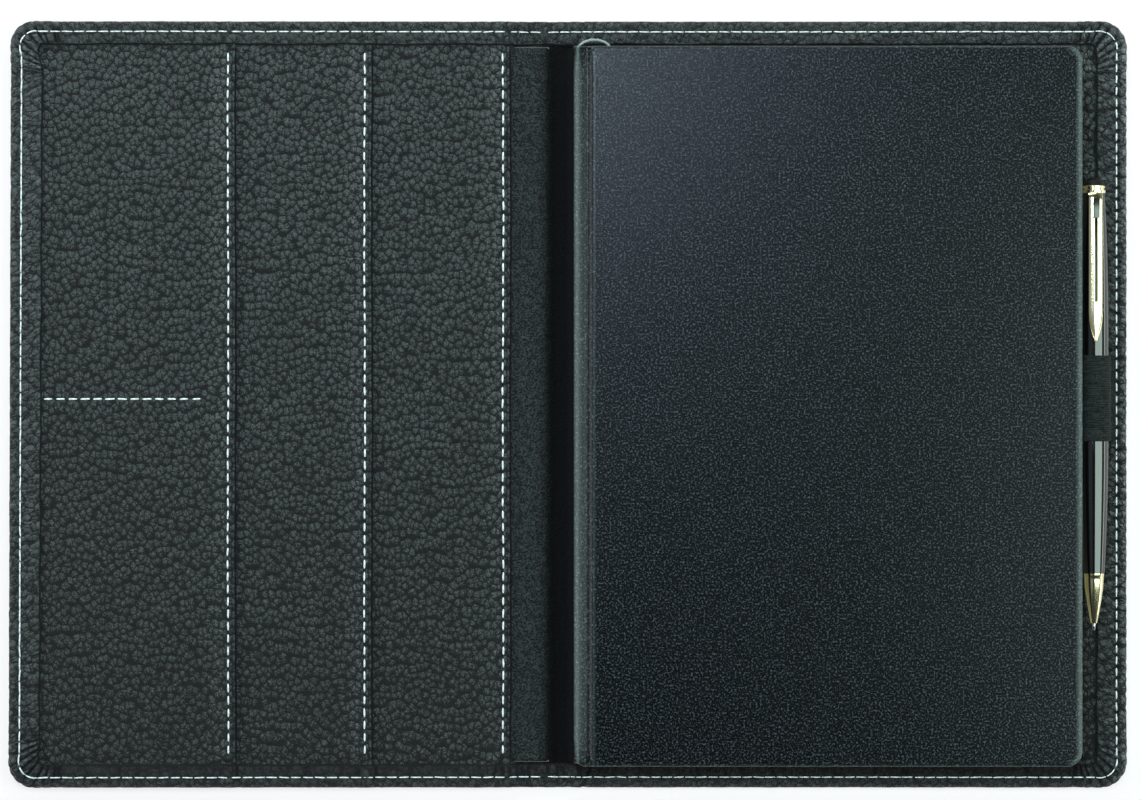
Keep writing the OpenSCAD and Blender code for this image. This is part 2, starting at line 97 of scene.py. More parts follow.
LEFT_FOLD_X = fold_place("left_fold")[0]
RIGHT_FOLD_X = fold_place("right_fold")[0]
MIDDLE_X = (LEFT_FOLD_X + RIGHT_FOLD_X) / 2
HALF = LEFT_HIGH[1]
LEFT_EDGE = -LEFT_LOW[0]
RIGHT_EDGE = RIGHT_HIGH[0]
SHEET = MIDDLE_LOW[2] - DOCUMENT_LOW[2]
INSIDE_Z = DOCUMENT_LOW[2]
SEAM = HALF - THREAD_HIGH[1] + 0.3
PEN = fold_place("pen_twist")
PEN_RADIUS = (UPPER_HIGH[0] - UPPER_LOW[0]) / 2

# ---------- measures, in millimetres, of the work itself ----------

HEM = 7.2  # width of the turned edge at head and tail
SIDE_HEM = 9.3  # and along a fore edge
CORNER = 8.0  # radius of the folio's corners
TUCK = 1.4  # how far linings and pockets stay inside the outline
SEAM_END = 106.3  # from the middle to where a pocket's seam stops, short of the turned edge
POCKET_SEAM = 2.0  # from a pocket's free edge to its seam
REACH = 16.0  # how far in the edge rows of the outer leather run
EDGE_ROUND = 2.3  # how far in the rounding of the outer edge runs
SIDE_ROWS = 8  # rows of faces in the flat of a cover, from head to tail
FOLD_CLIMB = 3.4  # width over which the turned edge climbs beside a fold
POCKET_CLIMB = 2.4  # and over which it climbs onto a pocket
POCKET_LEAD = 1.3  # how far before the pocket it begins
VALLEY = (-6.6, 2.0)  # where the lining's valley beside the notebook begins and ends, across
STITCH_PITCH = 3.7  # pockets and outside
LEFT_PITCH = 3.6  # seam of the left cover
RIGHT_PITCH = 3.42  # seam of the right cover
ELASTIC_RIB = 0.68  # from rib to rib of the pen loop

# ---------- colours ----------


def linear(code):
    """Linear red, green, blue and alpha of an sRGB hex colour."""
    parts = [int(code[i:i + 2], 16) / 255 for i in (1, 3, 5)]
    return [p / 12.92 if p <= 0.04045 else ((p + 0.055) / 1.055) ** 2.4 for p in parts] + [1]


# ---------- camera, light and floor ----------


def make_camera():
    """Looks straight down on the open folio from a metre and a half."""
    bpy.ops.object.camera_add(location=(0.00105, 0.00135, 1.5), rotation=(0, 0, 0))
    camera = bpy.context.object
    camera.name = "camera_above"
    camera.data.sensor_width = 36
    camera.data.lens = 157.6
    bpy.context.scene.camera = camera
    bpy.context.scene.view_settings.view_transform = "Standard"


def join(tree, node, inputs):
    """Sets each input of a node, or links it to a socket or to the first output of a node."""
    for name, value in inputs.items():
        if isinstance(value, bpy.types.Node):
            value = value.outputs[0]
        if isinstance(value, bpy.types.NodeSocket):
            tree.links.new(value, node.inputs[name])
        else:
            node.inputs[name].default_value = value


def add(tree, kind, inputs=None, **settings):
    """Adds a shader node of a kind with its settings, its values and its links."""
    made = tree.nodes.new("ShaderNode" + kind)
    for name, value in settings.items():
        setattr(made, name, value)
    join(tree, made, inputs or {})
    return made


def make_world():
    """A pale room that is brightest near the horizon and almost dark overhead."""
    world = bpy.data.worlds.new("pale_room")
    world.use_nodes = True
    tree = world.node_tree
    tree.nodes.clear()
    way = add(tree, "TexCoord")
    parts = add(tree, "SeparateXYZ", {0: way.outputs["Generated"]})
    level = add(tree, "MapRange", {
        "Value": parts.outputs["Z"], "From Min": 0.0, "From Max": 0.75, "To Min": 0.48,
        "To Max": 0.04}, interpolation_type="SMOOTHSTEP")
    light = add(tree, "Background", {"Color": linear("#ecf4f4"), "Strength": level})
    add(tree, "OutputWorld", {"Surface": light})
    bpy.context.scene.world = world


def soft_light(name, place, size, aim, watts, colour):
    """A rectangular soft light at a place in metres, turned to face a point."""
    bpy.ops.object.light_add(type="AREA", location=place)
    lamp = bpy.context.object
    lamp.name = name
    lamp.data.shape = "RECTANGLE"
    lamp.data.size = size[0]
    lamp.data.size_y = size[1]
    lamp.data.energy = watts
    lamp.data.color = linear(colour)[:3]
    lamp.rotation_euler = (Vector(aim) - Vector(place)).to_track_quat("-Z", "Y").to_euler()


def make_lights():
    """Six soft lights: one high over the head, a low one beyond it, one low at each side, one high
    at the right that the pen mirrors as a long line, and a faint one high at the left."""
    soft_light("high_head_light", (-0.12, 0.30, 1.38), (0.24, 0.24), (0, 0, 0), 9.2, "#d4ebff")
    soft_light("low_head_light", (-0.08, 0.70, 0.40), (0.8, 0.22), (0, 0, 0), 4.2, "#e8f8f8")
    soft_light("left_light", (-0.90, 0.02, 0.36), (0.7, 0.25), (-0.05, 0, 0), 4.0, "#ecfaf4")
    soft_light("right_light", (0.92, 0.02, 0.05), (0.7, 0.10), (0.10, 0, 0.02), 1.0, "#ecfaf4")
    soft_light("pen_light", (0.545, -0.03, 0.603), (0.32, 0.74), (0.157, -0.03, 0), 3.8, "#e6fff4")
    soft_light("left_card", (-0.357, -0.03, 0.613), (0.5, 0.7), (0.157, -0.03, 0), 0.26, "#e8f2f4")


def make_floor():
    """A white table top. Part of its white is its own to the eye, so that the shadow stays light."""
    bpy.ops.mesh.primitive_plane_add(size=8, location=(0, 0, -0.00002))
    floor = bpy.context.object
    floor.name = "table_top"
    floor.data.materials.append(white_table())


def new_material(name):
    """A material with its shader. Returns it, its tree, the shader and the object coordinates."""
    made = bpy.data.materials.new(name)
    made.use_nodes = True
    tree = made.node_tree
    tree.nodes.clear()
    shader = add(tree, "BsdfPrincipled")
    add(tree, "OutputMaterial", {"Surface": shader})
    return made, tree, shader, add(tree, "TexCoord").outputs["Object"]


def white_table():
    """Matt white laminate: an even pale ground that still takes the shadow."""
    made = bpy.data.materials.new("white_laminate")
    made.use_nodes = True
    tree = made.node_tree
    tree.nodes.clear()
    matt = add(tree, "BsdfDiffuse", {"Color": linear("#fff5f5")})
    own = add(tree, "Emission", {"Color": (1, 1, 1, 1), "Strength": 1.0})
    path = add(tree, "LightPath")
    seen = add(tree, "Math", {
        0: path.outputs["Is Camera Ray"], 1: path.outputs["Is Glossy Ray"]}, operation="MAXIMUM")
    seen_through = add(tree, "Math", {
        0: seen, 1: path.outputs["Is Transmission Ray"]}, operation="MAXIMUM")
    share = add(tree, "Math", {0: seen_through, 1: 0.72}, operation="MULTIPLY")
    both = add(tree, "MixShader", {0: share, 1: matt, 2: own})
    add(tree, "OutputMaterial", {"Surface": both})
    return made


# ---------- materials ----------

# Each returns one finish. Object coordinates are metres, so a scale is 1000 over a size in mm.

def pebbled_leather(name, valley, crown, grain, depth, creased=False):
    """Shrunken full-grain calf, drum dyed: round pebbles with sharp creases between them. Their
    colour follows their relief as painted light: the creases are painted dark as shade, the crowns
    pale.

    The creased one goes round edges, so its pebbles are solid. The other lies flat, and its
    pebbles are drawn on the flat, where they come out even. The grain is a pebble's width.
    """
    made, tree, shader, where = new_material(name)
    room = "3D" if creased else "2D"
    lowest, highest = (0.97, 2.08) if creased else (1.15, 2.2)

    # pebbles a little wider than long, with bent borders, smaller ones in them, pores and swells
    drift = add(tree, "TexNoise", {
        "Vector": where, "Scale": 1000 / (grain * 1.3), "Detail": 3.0, "Roughness": 0.6})
    bent = add(tree, "VectorMath", {
        0: drift.outputs["Color"], 1: [grain * 0.55 * MM] * 3, 2: where}, operation="MULTIPLY_ADD")
    drawn = add(tree, "VectorMath", {0: bent, 1: (1.08, 0.86, 1.0)}, operation="MULTIPLY")
    pebbles = add(tree, "TexVoronoi", {
        "Vector": drawn, "Scale": 1000 / grain}, feature="F1", voronoi_dimensions=room)
    borders = add(tree, "TexVoronoi", {
        "Vector": drawn, "Scale": 1000 / grain}, feature="DISTANCE_TO_EDGE",
        voronoi_dimensions=room)
    own = add(tree, "SeparateColor", {0: pebbles.outputs["Color"]})
    small = add(tree, "TexVoronoi", {
        "Vector": bent, "Scale": 1000 / (grain * 0.48)}, feature="DISTANCE_TO_EDGE")
    pores = add(tree, "TexNoise", {
        "Vector": where, "Scale": 1000 / 0.45, "Detail": 1.0, "Roughness": 0.6})
    swell = add(tree, "TexNoise", {
        "Vector": where, "Scale": 1000 / 9, "Detail": 3.0, "Roughness": 0.55})

    # a pebble is a dome of its own height, with a crack round it and finer cracks on it
    steep = add(tree, "Math", {0: pebbles.outputs["Distance"], 1: 1.25}, operation="POWER")
    dome = add(tree, "Math", {0: steep, 1: -0.85, 2: 1.0}, operation="MULTIPLY_ADD")
    full = add(tree, "MapRange", {"Value": own, "To Min": 0.8, "To Max": 1.0})
    raised = add(tree, "Math", {0: dome, 1: full}, operation="MULTIPLY")
    crack = add(tree, "MapRange", {
        "Value": borders.outputs["Distance"], "From Min": 0.0, "From Max": 0.1, "To Min": -0.42,
        "To Max": 0.0}, interpolation_type="SMOOTHSTEP")
    cracked = add(tree, "Math", {0: raised, 1: crack})
    fine_crack = add(tree, "MapRange", {
        "Value": small.outputs["Distance"], "From Min": 0.0, "From Max": 0.16, "To Min": -0.3,
        "To Max": 0.0}, interpolation_type="SMOOTHSTEP")
    split = add(tree, "Math", {0: fine_crack, 1: cracked})
    relief = add(tree, "Math", {
        0: pores.outputs["Fac"], 1: 1.6, 2: split}, operation="MULTIPLY_ADD")

    # the painted-light mark is above 0 where shade is painted dark (and, at a cut edge, black edge
    # paint), and below 0 where a highlight is painted pale
    painted_light = add(tree, "Attribute", attribute_name="painted_light")
    dark = add(tree, "MapRange", {"Value": painted_light.outputs["Fac"]})
    painted_highlight = add(tree, "MapRange", {"Value": painted_light.outputs["Fac"], "From Min": 0.0, "From Max": -1.0})
    height = creases(tree, relief, 0.7) if creased else relief
    bump = add(tree, "Bump", {"Strength": 1.0, "Distance": depth * MM, "Height": height})

    # painted light: crowns are painted paler, as if lit, and more so on the side towards the head; the
    # foot is painted a little darker, as shade
    tone = add(tree, "Math", {
        0: swell.outputs["Fac"], 1: 0.15, 2: height}, operation="MULTIPLY_ADD")
    off = add(tree, "VectorMath", {0: drawn, 1: pebbles.outputs["Position"]}, operation="SUBTRACT")
    ahead = add(tree, "SeparateXYZ", {0: off})
    facing = add(tree, "Math", {
        0: ahead.outputs["Y"], 1: 640 / grain, 2: tone}, operation="MULTIPLY_ADD")
    place = add(tree, "SeparateXYZ", {0: where})
    shade = add(tree, "MapRange", {
        "Value": place.outputs["Y"], "From Min": -0.1, "From Max": 0.1, "To Min": -0.19,
        "To Max": 0.05})
    shaded = add(tree, "Math", {0: facing, 1: shade})
    # The share comes from the relief, so valleys are painted dark as shade and crowns pale as lit.
    share = add(tree, "MapRange", {"Value": shaded, "From Min": lowest, "From Max": highest})
    colour = add(tree, "Mix", {0: share, 6: linear(valley), 7: linear(crown)}, data_type="RGBA")
    # Pale tones for painted highlights where the mark is below 0; further on, painted shade goes to
    # near black where it is above 0.
    lit = add(tree, "Mix", {0: share, 6: linear("#1a1f1e"), 7: linear("#939996")}, data_type="RGBA")
    with_painted_highlight = add(tree, "Mix", {0: painted_highlight, 6: colour.outputs[2], 7: lit.outputs[2]}, data_type="RGBA")
    with_painted_light = add(tree, "Mix", {0: dark, 6: with_painted_highlight.outputs[2], 7: linear("#040505")}, data_type="RGBA")
    gloss = add(tree, "MapRange", {"Value": share, "To Min": 0.8, "To Max": 0.33})
    rough = add(tree, "Math", {0: gloss, 1: dark}, operation="MAXIMUM")
    join(tree, shader, {
        "Base Color": with_painted_light.outputs[2], "Roughness": rough, "Normal": bump, "IOR": 1.48,
        "Specular IOR Level": 0.55})
    return made


def creases(tree, relief, depth):
    """Adds the fine creases of a turned edge. They part it into plates, and most run across it.

    The mark holds the way along the outline, the way in from it, and how creased it is: 1 along
    an edge, and towards 2 where a corner is gathered instead, which needs no creases.
    """
    hem = add(tree, "Attribute", attribute_name="hem")
    mask = add(tree, "SeparateXYZ", {0: hem.outputs["Vector"]})
    lean = add(tree, "Math", {
        0: mask.outputs["Y"], 1: 0.45, 2: mask.outputs["X"]}, operation="MULTIPLY_ADD")
    slanted = add(tree, "CombineXYZ", {0: lean, 1: mask.outputs["Y"]})
    plates = add(tree, "VectorMath", {
        0: slanted, 1: (1000 / 1.9, 1000 / 5.0, 0)}, operation="MULTIPLY")
    drift = add(tree, "TexNoise", {"Vector": plates, "Scale": 1.1, "Detail": 2.0, "Roughness": 0.6})
    bent = add(tree, "VectorMath", {
        0: drift.outputs["Color"], 1: (1.1, 1.1, 0), 2: plates}, operation="MULTIPLY_ADD")
    edges = add(tree, "TexVoronoi", {
        "Vector": bent, "Scale": 1.0}, feature="DISTANCE_TO_EDGE", voronoi_dimensions="2D")
    line = add(tree, "MapRange", {
        "Value": edges.outputs["Distance"], "From Min": 0.0, "From Max": 0.1, "To Min": -depth,
        "To Max": 0.0}, interpolation_type="SMOOTHSTEP")
    level = add(tree, "MapRange", {
        "Value": relief, "From Min": 0.6, "From Max": 1.75, "To Min": 1.02, "To Max": 1.8})
    turned_in = add(tree, "MapRange", {
        "Value": mask.outputs["Z"], "From Min": 0.0, "From Max": 0.3})
    eased = add(tree, "Mix", {0: turned_in, 2: relief, 3: level})
    past = add(tree, "Math", {0: 2.0, 1: mask.outputs["Z"]}, operation="SUBTRACT")
    lined = add(tree, "Math", {0: past, 1: mask.outputs["Z"]}, operation="MULTIPLY")
    return add(tree, "Math", {0: line, 1: lined, 2: eased}, operation="MULTIPLY_ADD")


def smooth_lining():
    """Corrected sheepskin lining, plated smooth: dark satin with a fine pore, painted near black as
    shade where it dips into the valley at the spine. The pores are drawn coarser than they are, to
    show."""
    made, tree, shader, where = new_material("plated_lining_skin")
    pores = add(tree, "TexVoronoi", {"Vector": where, "Scale": 1000 / 0.55}, feature="F1")
    cloud = add(tree, "TexNoise", {
        "Vector": where, "Scale": 1000 / 1.5, "Detail": 3.0, "Roughness": 0.7})
    streak = add(tree, "VectorMath", {
        0: where, 1: (1000 / 0.9, 1000 / 14, 1)}, operation="MULTIPLY")
    streaks = add(tree, "TexNoise", {"Vector": streak, "Scale": 1.0, "Detail": 3.0})
    both = add(tree, "Math", {
        0: pores.outputs["Distance"], 1: 0.9, 2: cloud.outputs["Fac"]}, operation="MULTIPLY_ADD")
    bump = add(tree, "Bump", {"Strength": 1.0, "Distance": 0.34 * MM, "Height": both})
    place = add(tree, "SeparateXYZ", {0: where})
    edge = add(tree, "Math", {
        0: streaks.outputs["Fac"], 1: 1.6 * MM, 2: place.outputs["X"]}, operation="MULTIPLY_ADD")
    # Painted shade: across the valley beside the notebook the colour goes near black, with faint
    # streaks.
    dip = add(tree, "MapRange", {
        "Value": edge, "From Min": (MIDDLE_X - 1.6) * MM, "From Max": (MIDDLE_X + 4.4) * MM},
        interpolation_type="SMOOTHSTEP")
    tone = add(tree, "MapRange", {"Value": both, "From Min": 0.8, "From Max": 1.16})
    colour = add(tree, "Mix", {
        0: tone, 6: linear("#010202"), 7: linear("#2e3433")}, data_type="RGBA")
    deep = add(tree, "Mix", {
        0: streaks.outputs["Fac"], 6: linear("#010101"), 7: linear("#040505")}, data_type="RGBA")
    with_painted_shade = add(tree, "Mix", {0: dip, 6: colour.outputs[2], 7: deep.outputs[2]}, data_type="RGBA")
    rough = add(tree, "MapRange", {"Value": dip, "To Min": 0.6, "To Max": 0.95})
    join(tree, shader, {
        "Base Color": with_painted_shade.outputs[2], "Roughness": rough, "Normal": bump,
        "Specular IOR Level": 0.25})
    return made


def book_leatherette():
    """Embossed paper-backed leatherette, lacquered: tight grain whose crests are painted pale as
    glints, and painted highlights along its spine and edges. The grain is drawn a little coarser than
    it is, to show."""
    made, tree, shader, where = new_material("embossed_leatherette")
    grain = add(tree, "TexNoise", {
        "Vector": where, "Scale": 1000 / 0.62, "Detail": 1.0, "Roughness": 0.7})
    cloud = add(tree, "TexNoise", {"Vector": where, "Scale": 1000 / 9, "Detail": 3.0})
    bump = add(tree, "Bump", {
        "Strength": 1.0, "Distance": 0.03 * MM, "Height": grain.outputs["Fac"]})
    # Painted glints: the grain's crests are painted pale in the colour.
    crest = add(tree, "MapRange", {
        "Value": grain.outputs["Fac"], "From Min": 0.525, "From Max": 0.74})
    share = add(tree, "Math", {
        0: cloud.outputs["Fac"], 1: 0.05, 2: crest}, operation="MULTIPLY_ADD")
    colour = add(tree, "Mix", {
        0: share, 6: linear("#010101"), 7: linear("#464d53")}, data_type="RGBA")
    # Tones for the painted highlights along the spine and edges.
    pale = add(tree, "Mix", {
        0: share, 6: linear("#5c6462"), 7: linear("#8b9390")}, data_type="RGBA")
    painted_light = add(tree, "Attribute", attribute_name="painted_light")
    painted_highlight = add(tree, "MapRange", {"Value": painted_light.outputs["Fac"], "From Min": 0.0, "From Max": -1.0})
    with_painted_highlight = add(tree, "Mix", {0: painted_highlight, 6: colour.outputs[2], 7: pale.outputs[2]}, data_type="RGBA")
    polish = add(tree, "MapRange", {"Value": crest, "To Min": 0.26, "To Max": 0.2})
    rough = add(tree, "Math", {0: polish, 1: painted_highlight}, operation="MAXIMUM")
    join(tree, shader, {
        "Base Color": with_painted_highlight.outputs[2], "Roughness": rough, "Normal": bump,
        "Specular IOR Level": 0.12})
    return made


def plain_finish(name, pattern, marks, relief, tones, others, bands=None):
    """A finish with one pattern that raises it and mixes its two tones. Relief is (strength, mm)."""
    made, tree, shader, where = new_material(name)
    settings = {"bands_direction": bands} if bands else {}
    share = add(tree, pattern, {"Vector": where, **marks}, **settings).outputs["Fac"]
    bump = add(tree, "Bump", {"Strength": relief[0], "Distance": relief[1] * MM, "Height": share})
    colour = add(tree, "Mix", {
        0: share, 6: linear(tones[0]), 7: linear(tones[1])}, data_type="RGBA")
    join(tree, shader, {"Base Color": colour.outputs[2], "Normal": bump, **others})
    return made


def bonded_thread():
    """Bonded polyester thread, three ply: bright white with a faint twist and soft sheen."""
    return plain_finish(
        "white_bonded_thread", "TexWave", {"Scale": 1000 / 2.4, "Distortion": 0.6},
        (0.6, 0.05), ("#d9dedb", "#f8faf7"), {"Roughness": 0.55, "Sheen Weight": 0.15}, "DIAGONAL")


def ribbed_elastic():
    """Woven rubber-core elastic: matt black with cross ribs and a few brighter picks."""
    made, tree, shader, where = new_material("woven_black_elastic")
    across = add(tree, "VectorMath", {
        0: where, 1: (1000 / 2.6, 1000 / 0.42, 1000 / 2.6)}, operation="MULTIPLY")
    picks = add(tree, "TexNoise", {"Vector": across, "Scale": 1.0, "Detail": 1.0})
    rows = add(tree, "TexWave", {
        "Vector": where, "Scale": 1000 / (ELASTIC_RIB * 20 / (2 * math.pi)), "Distortion": 0.0},
        bands_direction="Y")
    weave = add(tree, "TexNoise", {"Vector": where, "Scale": 1000 / 0.45, "Detail": 1.0})
    ribs = add(tree, "Math", {
        0: rows.outputs["Fac"], 1: 0.22, 2: picks.outputs["Fac"]}, operation="MULTIPLY_ADD")
    both = add(tree, "Math", {0: weave.outputs["Fac"], 1: 1.0, 2: ribs}, operation="MULTIPLY_ADD")
    # The colour follows the ribs, weave and picks; along the ribs it is painted light: hollows dark as
    # shade, crowns paler.
    share = add(tree, "MapRange", {"Value": both, "From Min": 0.85, "From Max": 1.4})
    colour = add(tree, "Mix", {
        0: share, 6: linear("#020302"), 7: linear("#282e2c")}, data_type="RGBA")
    bump = add(tree, "Bump", {"Strength": 1.0, "Distance": 0.12 * MM, "Height": both})
    join(tree, shader, {
        "Base Color": colour.outputs[2], "Normal": bump, "Roughness": 0.85,
        "Specular IOR Level": 0.2})
    return made


def gloss_lacquer():
    """Polished black lacquer on brass: deep, mirror smooth, with hairlines from use."""
    made, tree, shader, where = new_material("polished_black_lacquer")
    wear = add(tree, "TexNoise", {"Vector": where, "Scale": 1000 / 3, "Detail": 4.0})
    rough = add(tree, "MapRange", {"Value": wear.outputs["Fac"], "To Min": 0.05, "To Max": 0.13})
    colour = add(tree, "Mix", {
        0: wear.outputs["Fac"], 6: linear("#060607"), 7: linear("#0c0d0e")}, data_type="RGBA")
    join(tree, shader, {"Roughness": rough, "Base Color": colour.outputs[2], "IOR": 1.72})
    return made


def matt_lacquer():
    """Stoved matt black on the end cap: dry and even, with a faint tooth."""
    return plain_finish(
        "stoved_matt_black", "TexNoise", {"Scale": 1000 / 0.5, "Detail": 2.0},
        (0.6, 0.04), ("#050505", "#101111"), {"Roughness": 0.55, "Specular IOR Level": 0.25})


def metal(name, dark, light, low, high, stretch):
    """A worked metal. The pattern is drawn out along one way, as its polishing left it."""
    made, tree, shader, where = new_material(name)
    drawn = add(tree, "VectorMath", {0: where, 1: stretch}, operation="MULTIPLY")
    marks = add(tree, "TexNoise", {"Vector": drawn, "Scale": 1.0, "Detail": 4.0, "Roughness": 0.6})
    colour = add(tree, "Mix", {
        0: marks.outputs["Fac"], 6: linear(dark), 7: linear(light)}, data_type="RGBA")
    rough = add(tree, "MapRange", {"Value": marks.outputs["Fac"], "To Min": low, "To Max": high})
    join(tree, shader, {"Base Color": colour.outputs[2], "Roughness": rough, "Metallic": 1.0})
    return made


def book_paper(name, dark, light):
    """Uncoated wood-free paper: warm, matt, faintly fibrous."""
    return plain_finish(
        name, "TexNoise", {"Scale": 1000 / 0.8, "Detail": 4.0},
        (0.4, 0.03), (dark, light), {"Roughness": 0.9})


def grey_board():
    """Pressed greyboard: flat grey-brown with coarse recycled fibre."""
    return book_paper("pressed_greyboard", "#7c7468", "#9b9184")


def satin_ribbon():
    """Woven viscose satin: pale grey with a soft run of light along its threads."""
    return plain_finish(
        "grey_satin_ribbon", "TexWave", {"Scale": 1000 / 3.0, "Distortion": 0.4},
        (0.5, 0.04), ("#7f8a88", "#a9b3b0"), {"Roughness": 0.42, "Sheen Weight": 0.2}, "Z")


def striped_headband():
    """Mercerised cotton headband: cream and black stripes round a cord, drawn coarse to show."""
    made, tree, shader, where = new_material("striped_cotton_headband")
    stripes = add(tree, "TexWave", {
        "Vector": where, "Scale": 1000 / 5.0, "Distortion": 0.2}, bands_direction="Z")
    share = add(tree, "MapRange", {
        "Value": stripes.outputs["Fac"], "From Min": 0.4, "From Max": 0.6})
    colour = add(tree, "Mix", {
        0: share, 6: linear("#2a2d2c"), 7: linear("#ded8c8")}, data_type="RGBA")
    join(tree, shader, {"Base Color": colour.outputs[2], "Roughness": 0.7})
    return made


# ---------- shaping ----------


def ease(share):
    """A smooth step from 0 to 1."""
    share = np.clip(share, 0, 1)
    return share * share * (3 - 2 * share)


def hump(off, width):
    """A smooth hump: 1 at its middle, and 0.37 where it is a width off."""
    return np.exp(-(off / width) ** 2)


def select_none():
    """Leaves nothing selected."""
    if bpy.context.object and bpy.context.object.mode != "OBJECT":
        bpy.ops.object.mode_set(mode="OBJECT")
    bpy.ops.object.select_all(action="DESELECT")


def pick(*pieces):
    """Selects these pieces and nothing else. The last one is active."""
    select_none()
    for piece in pieces:
        piece.select_set(True)
        bpy.context.view_layer.objects.active = piece


def edit_all(step, **settings):
    """Runs one step of editing on the whole mesh of the active piece."""
    bpy.ops.object.mode_set(mode="EDIT")
    bpy.ops.mesh.select_all(action="SELECT")
    step(**settings)
    bpy.ops.object.mode_set(mode="OBJECT")


def finish_piece(piece, name, material, angle=35):
    """Names a piece, puts its place in its mesh, and smooths all but its sharp edges."""
    pick(piece)
    bpy.ops.object.transform_apply(location=True, rotation=True, scale=True)
    bpy.ops.object.shade_smooth_by_angle(angle=math.radians(angle))
    piece.name = name
    piece.data.name = name
    piece.data.materials.clear()
    piece.data.materials.append(material)
    return piece


def shell(name, points, faces, material, angle=40, marks=None, painted_light_values=None):
    """A closed piece from points in millimetres and faces.

    Marks are kept as its hem attribute. Painted-light values say how dark its creases and cut edges
    are painted as shade, or how pale its painted highlights are.
    """
    mesh = bpy.data.meshes.new(name)
    mesh.from_pydata((np.asarray(points) * MM).tolist(), [], faces)
    if marks is not None:
        layer = mesh.attributes.new("hem", "FLOAT_VECTOR", "POINT")
        layer.data.foreach_set("vector", np.asarray(marks, np.float32).ravel())
    if painted_light_values is not None:
        layer = mesh.attributes.new("painted_light", "FLOAT", "POINT")
        layer.data.foreach_set("value", np.asarray(painted_light_values, np.float32).ravel())
    work = bmesh.new()
    work.from_mesh(mesh)
    bmesh.ops.remove_doubles(work, verts=work.verts, dist=1e-7)
    bmesh.ops.recalc_face_normals(work, faces=work.faces)
    work.to_mesh(mesh)
    work.free()
    mesh.polygons.foreach_set("use_smooth", [True] * len(mesh.polygons))
    mesh.set_sharp_from_angle(angle=math.radians(angle))
    mesh.materials.append(material)
    piece = bpy.data.objects.new(name, mesh)
    bpy.context.scene.collection.objects.link(piece)
    return piece


def edge_stations(heads, half, corner, reach, step):
    """Stations round the head, the fore edge and the tail of a cover, in millimetres.

    Each has its place on the outline, the point that its line runs in to, its depth square to the
    edge, the way that it faces inwards, its way along the outline, and its way from the nearest
    corner. The heads are the places along the straight head, from the fold outwards.
    """
    length = heads[-1] + reach
    straight = reach - corner
    arc = math.pi * corner / 2
    turn_length = 2 * straight + arc
    turn = np.linspace(0, turn_length, 2 * int(turn_length / step) + 1)[1:-1]
    angle = np.clip((turn - straight) / corner, 0, math.pi / 2)
    side_count = SIDE_ROWS // 2 * max(1, int((half - reach) / step / (SIDE_ROWS // 2)))
    side = np.linspace(half - reach, 0, side_count + 1)
    turn_u = length - reach + np.minimum(turn, straight) + corner * np.sin(angle)
    turn_v = half - corner * (1 - np.cos(angle)) - np.maximum(turn - straight - arc, 0)
    edge = np.concatenate([
        np.stack([heads, np.full(len(heads), half)], 1),
        np.stack([turn_u, turn_v], 1),
        np.stack([np.full(len(side), length), side], 1)])
    foot = np.concatenate([
        np.stack([heads, np.full(len(heads), half - reach)], 1),
        np.tile([length - reach, half - reach], (len(turn), 1)),
        np.stack([np.full(len(side), length - reach), side], 1)])
    inward = np.concatenate([
        np.tile([0.0, -1.0], (len(heads), 1)),
        np.stack([-np.sin(angle), -np.cos(angle)], 1),
        np.tile([-1.0, 0.0], (len(side), 1))])
    flip = np.array([1, -1])
    edge = np.concatenate([edge, edge[-2::-1] * flip])
    foot = np.concatenate([foot, foot[-2::-1] * flip])
    inward = np.concatenate([inward, inward[-2::-1] * flip])
    way = np.concatenate([[0], np.cumsum(np.linalg.norm(np.diff(edge, axis=0), axis=1))])
    first = heads[-1] + straight + arc / 2
    corner_way = np.where(way < way[-1] / 2, way - first, way[-1] - first - way)
    return {
        "heads": heads, "half": half, "length": length, "reach": reach, "edge": edge, "foot": foot,
        "depth": ((foot - edge) * inward).sum(1), "inward": inward, "way": way,
        "corner": corner_way, "side_start": len(heads) + len(turn), "side_count": side_count}


def side_by_side(columns, count):
    """Joins columns that are a number, or a value for each station, into one array."""
    return np.concatenate([np.broadcast_to(c, (count, 1)) for c in columns], 1).astype(float)


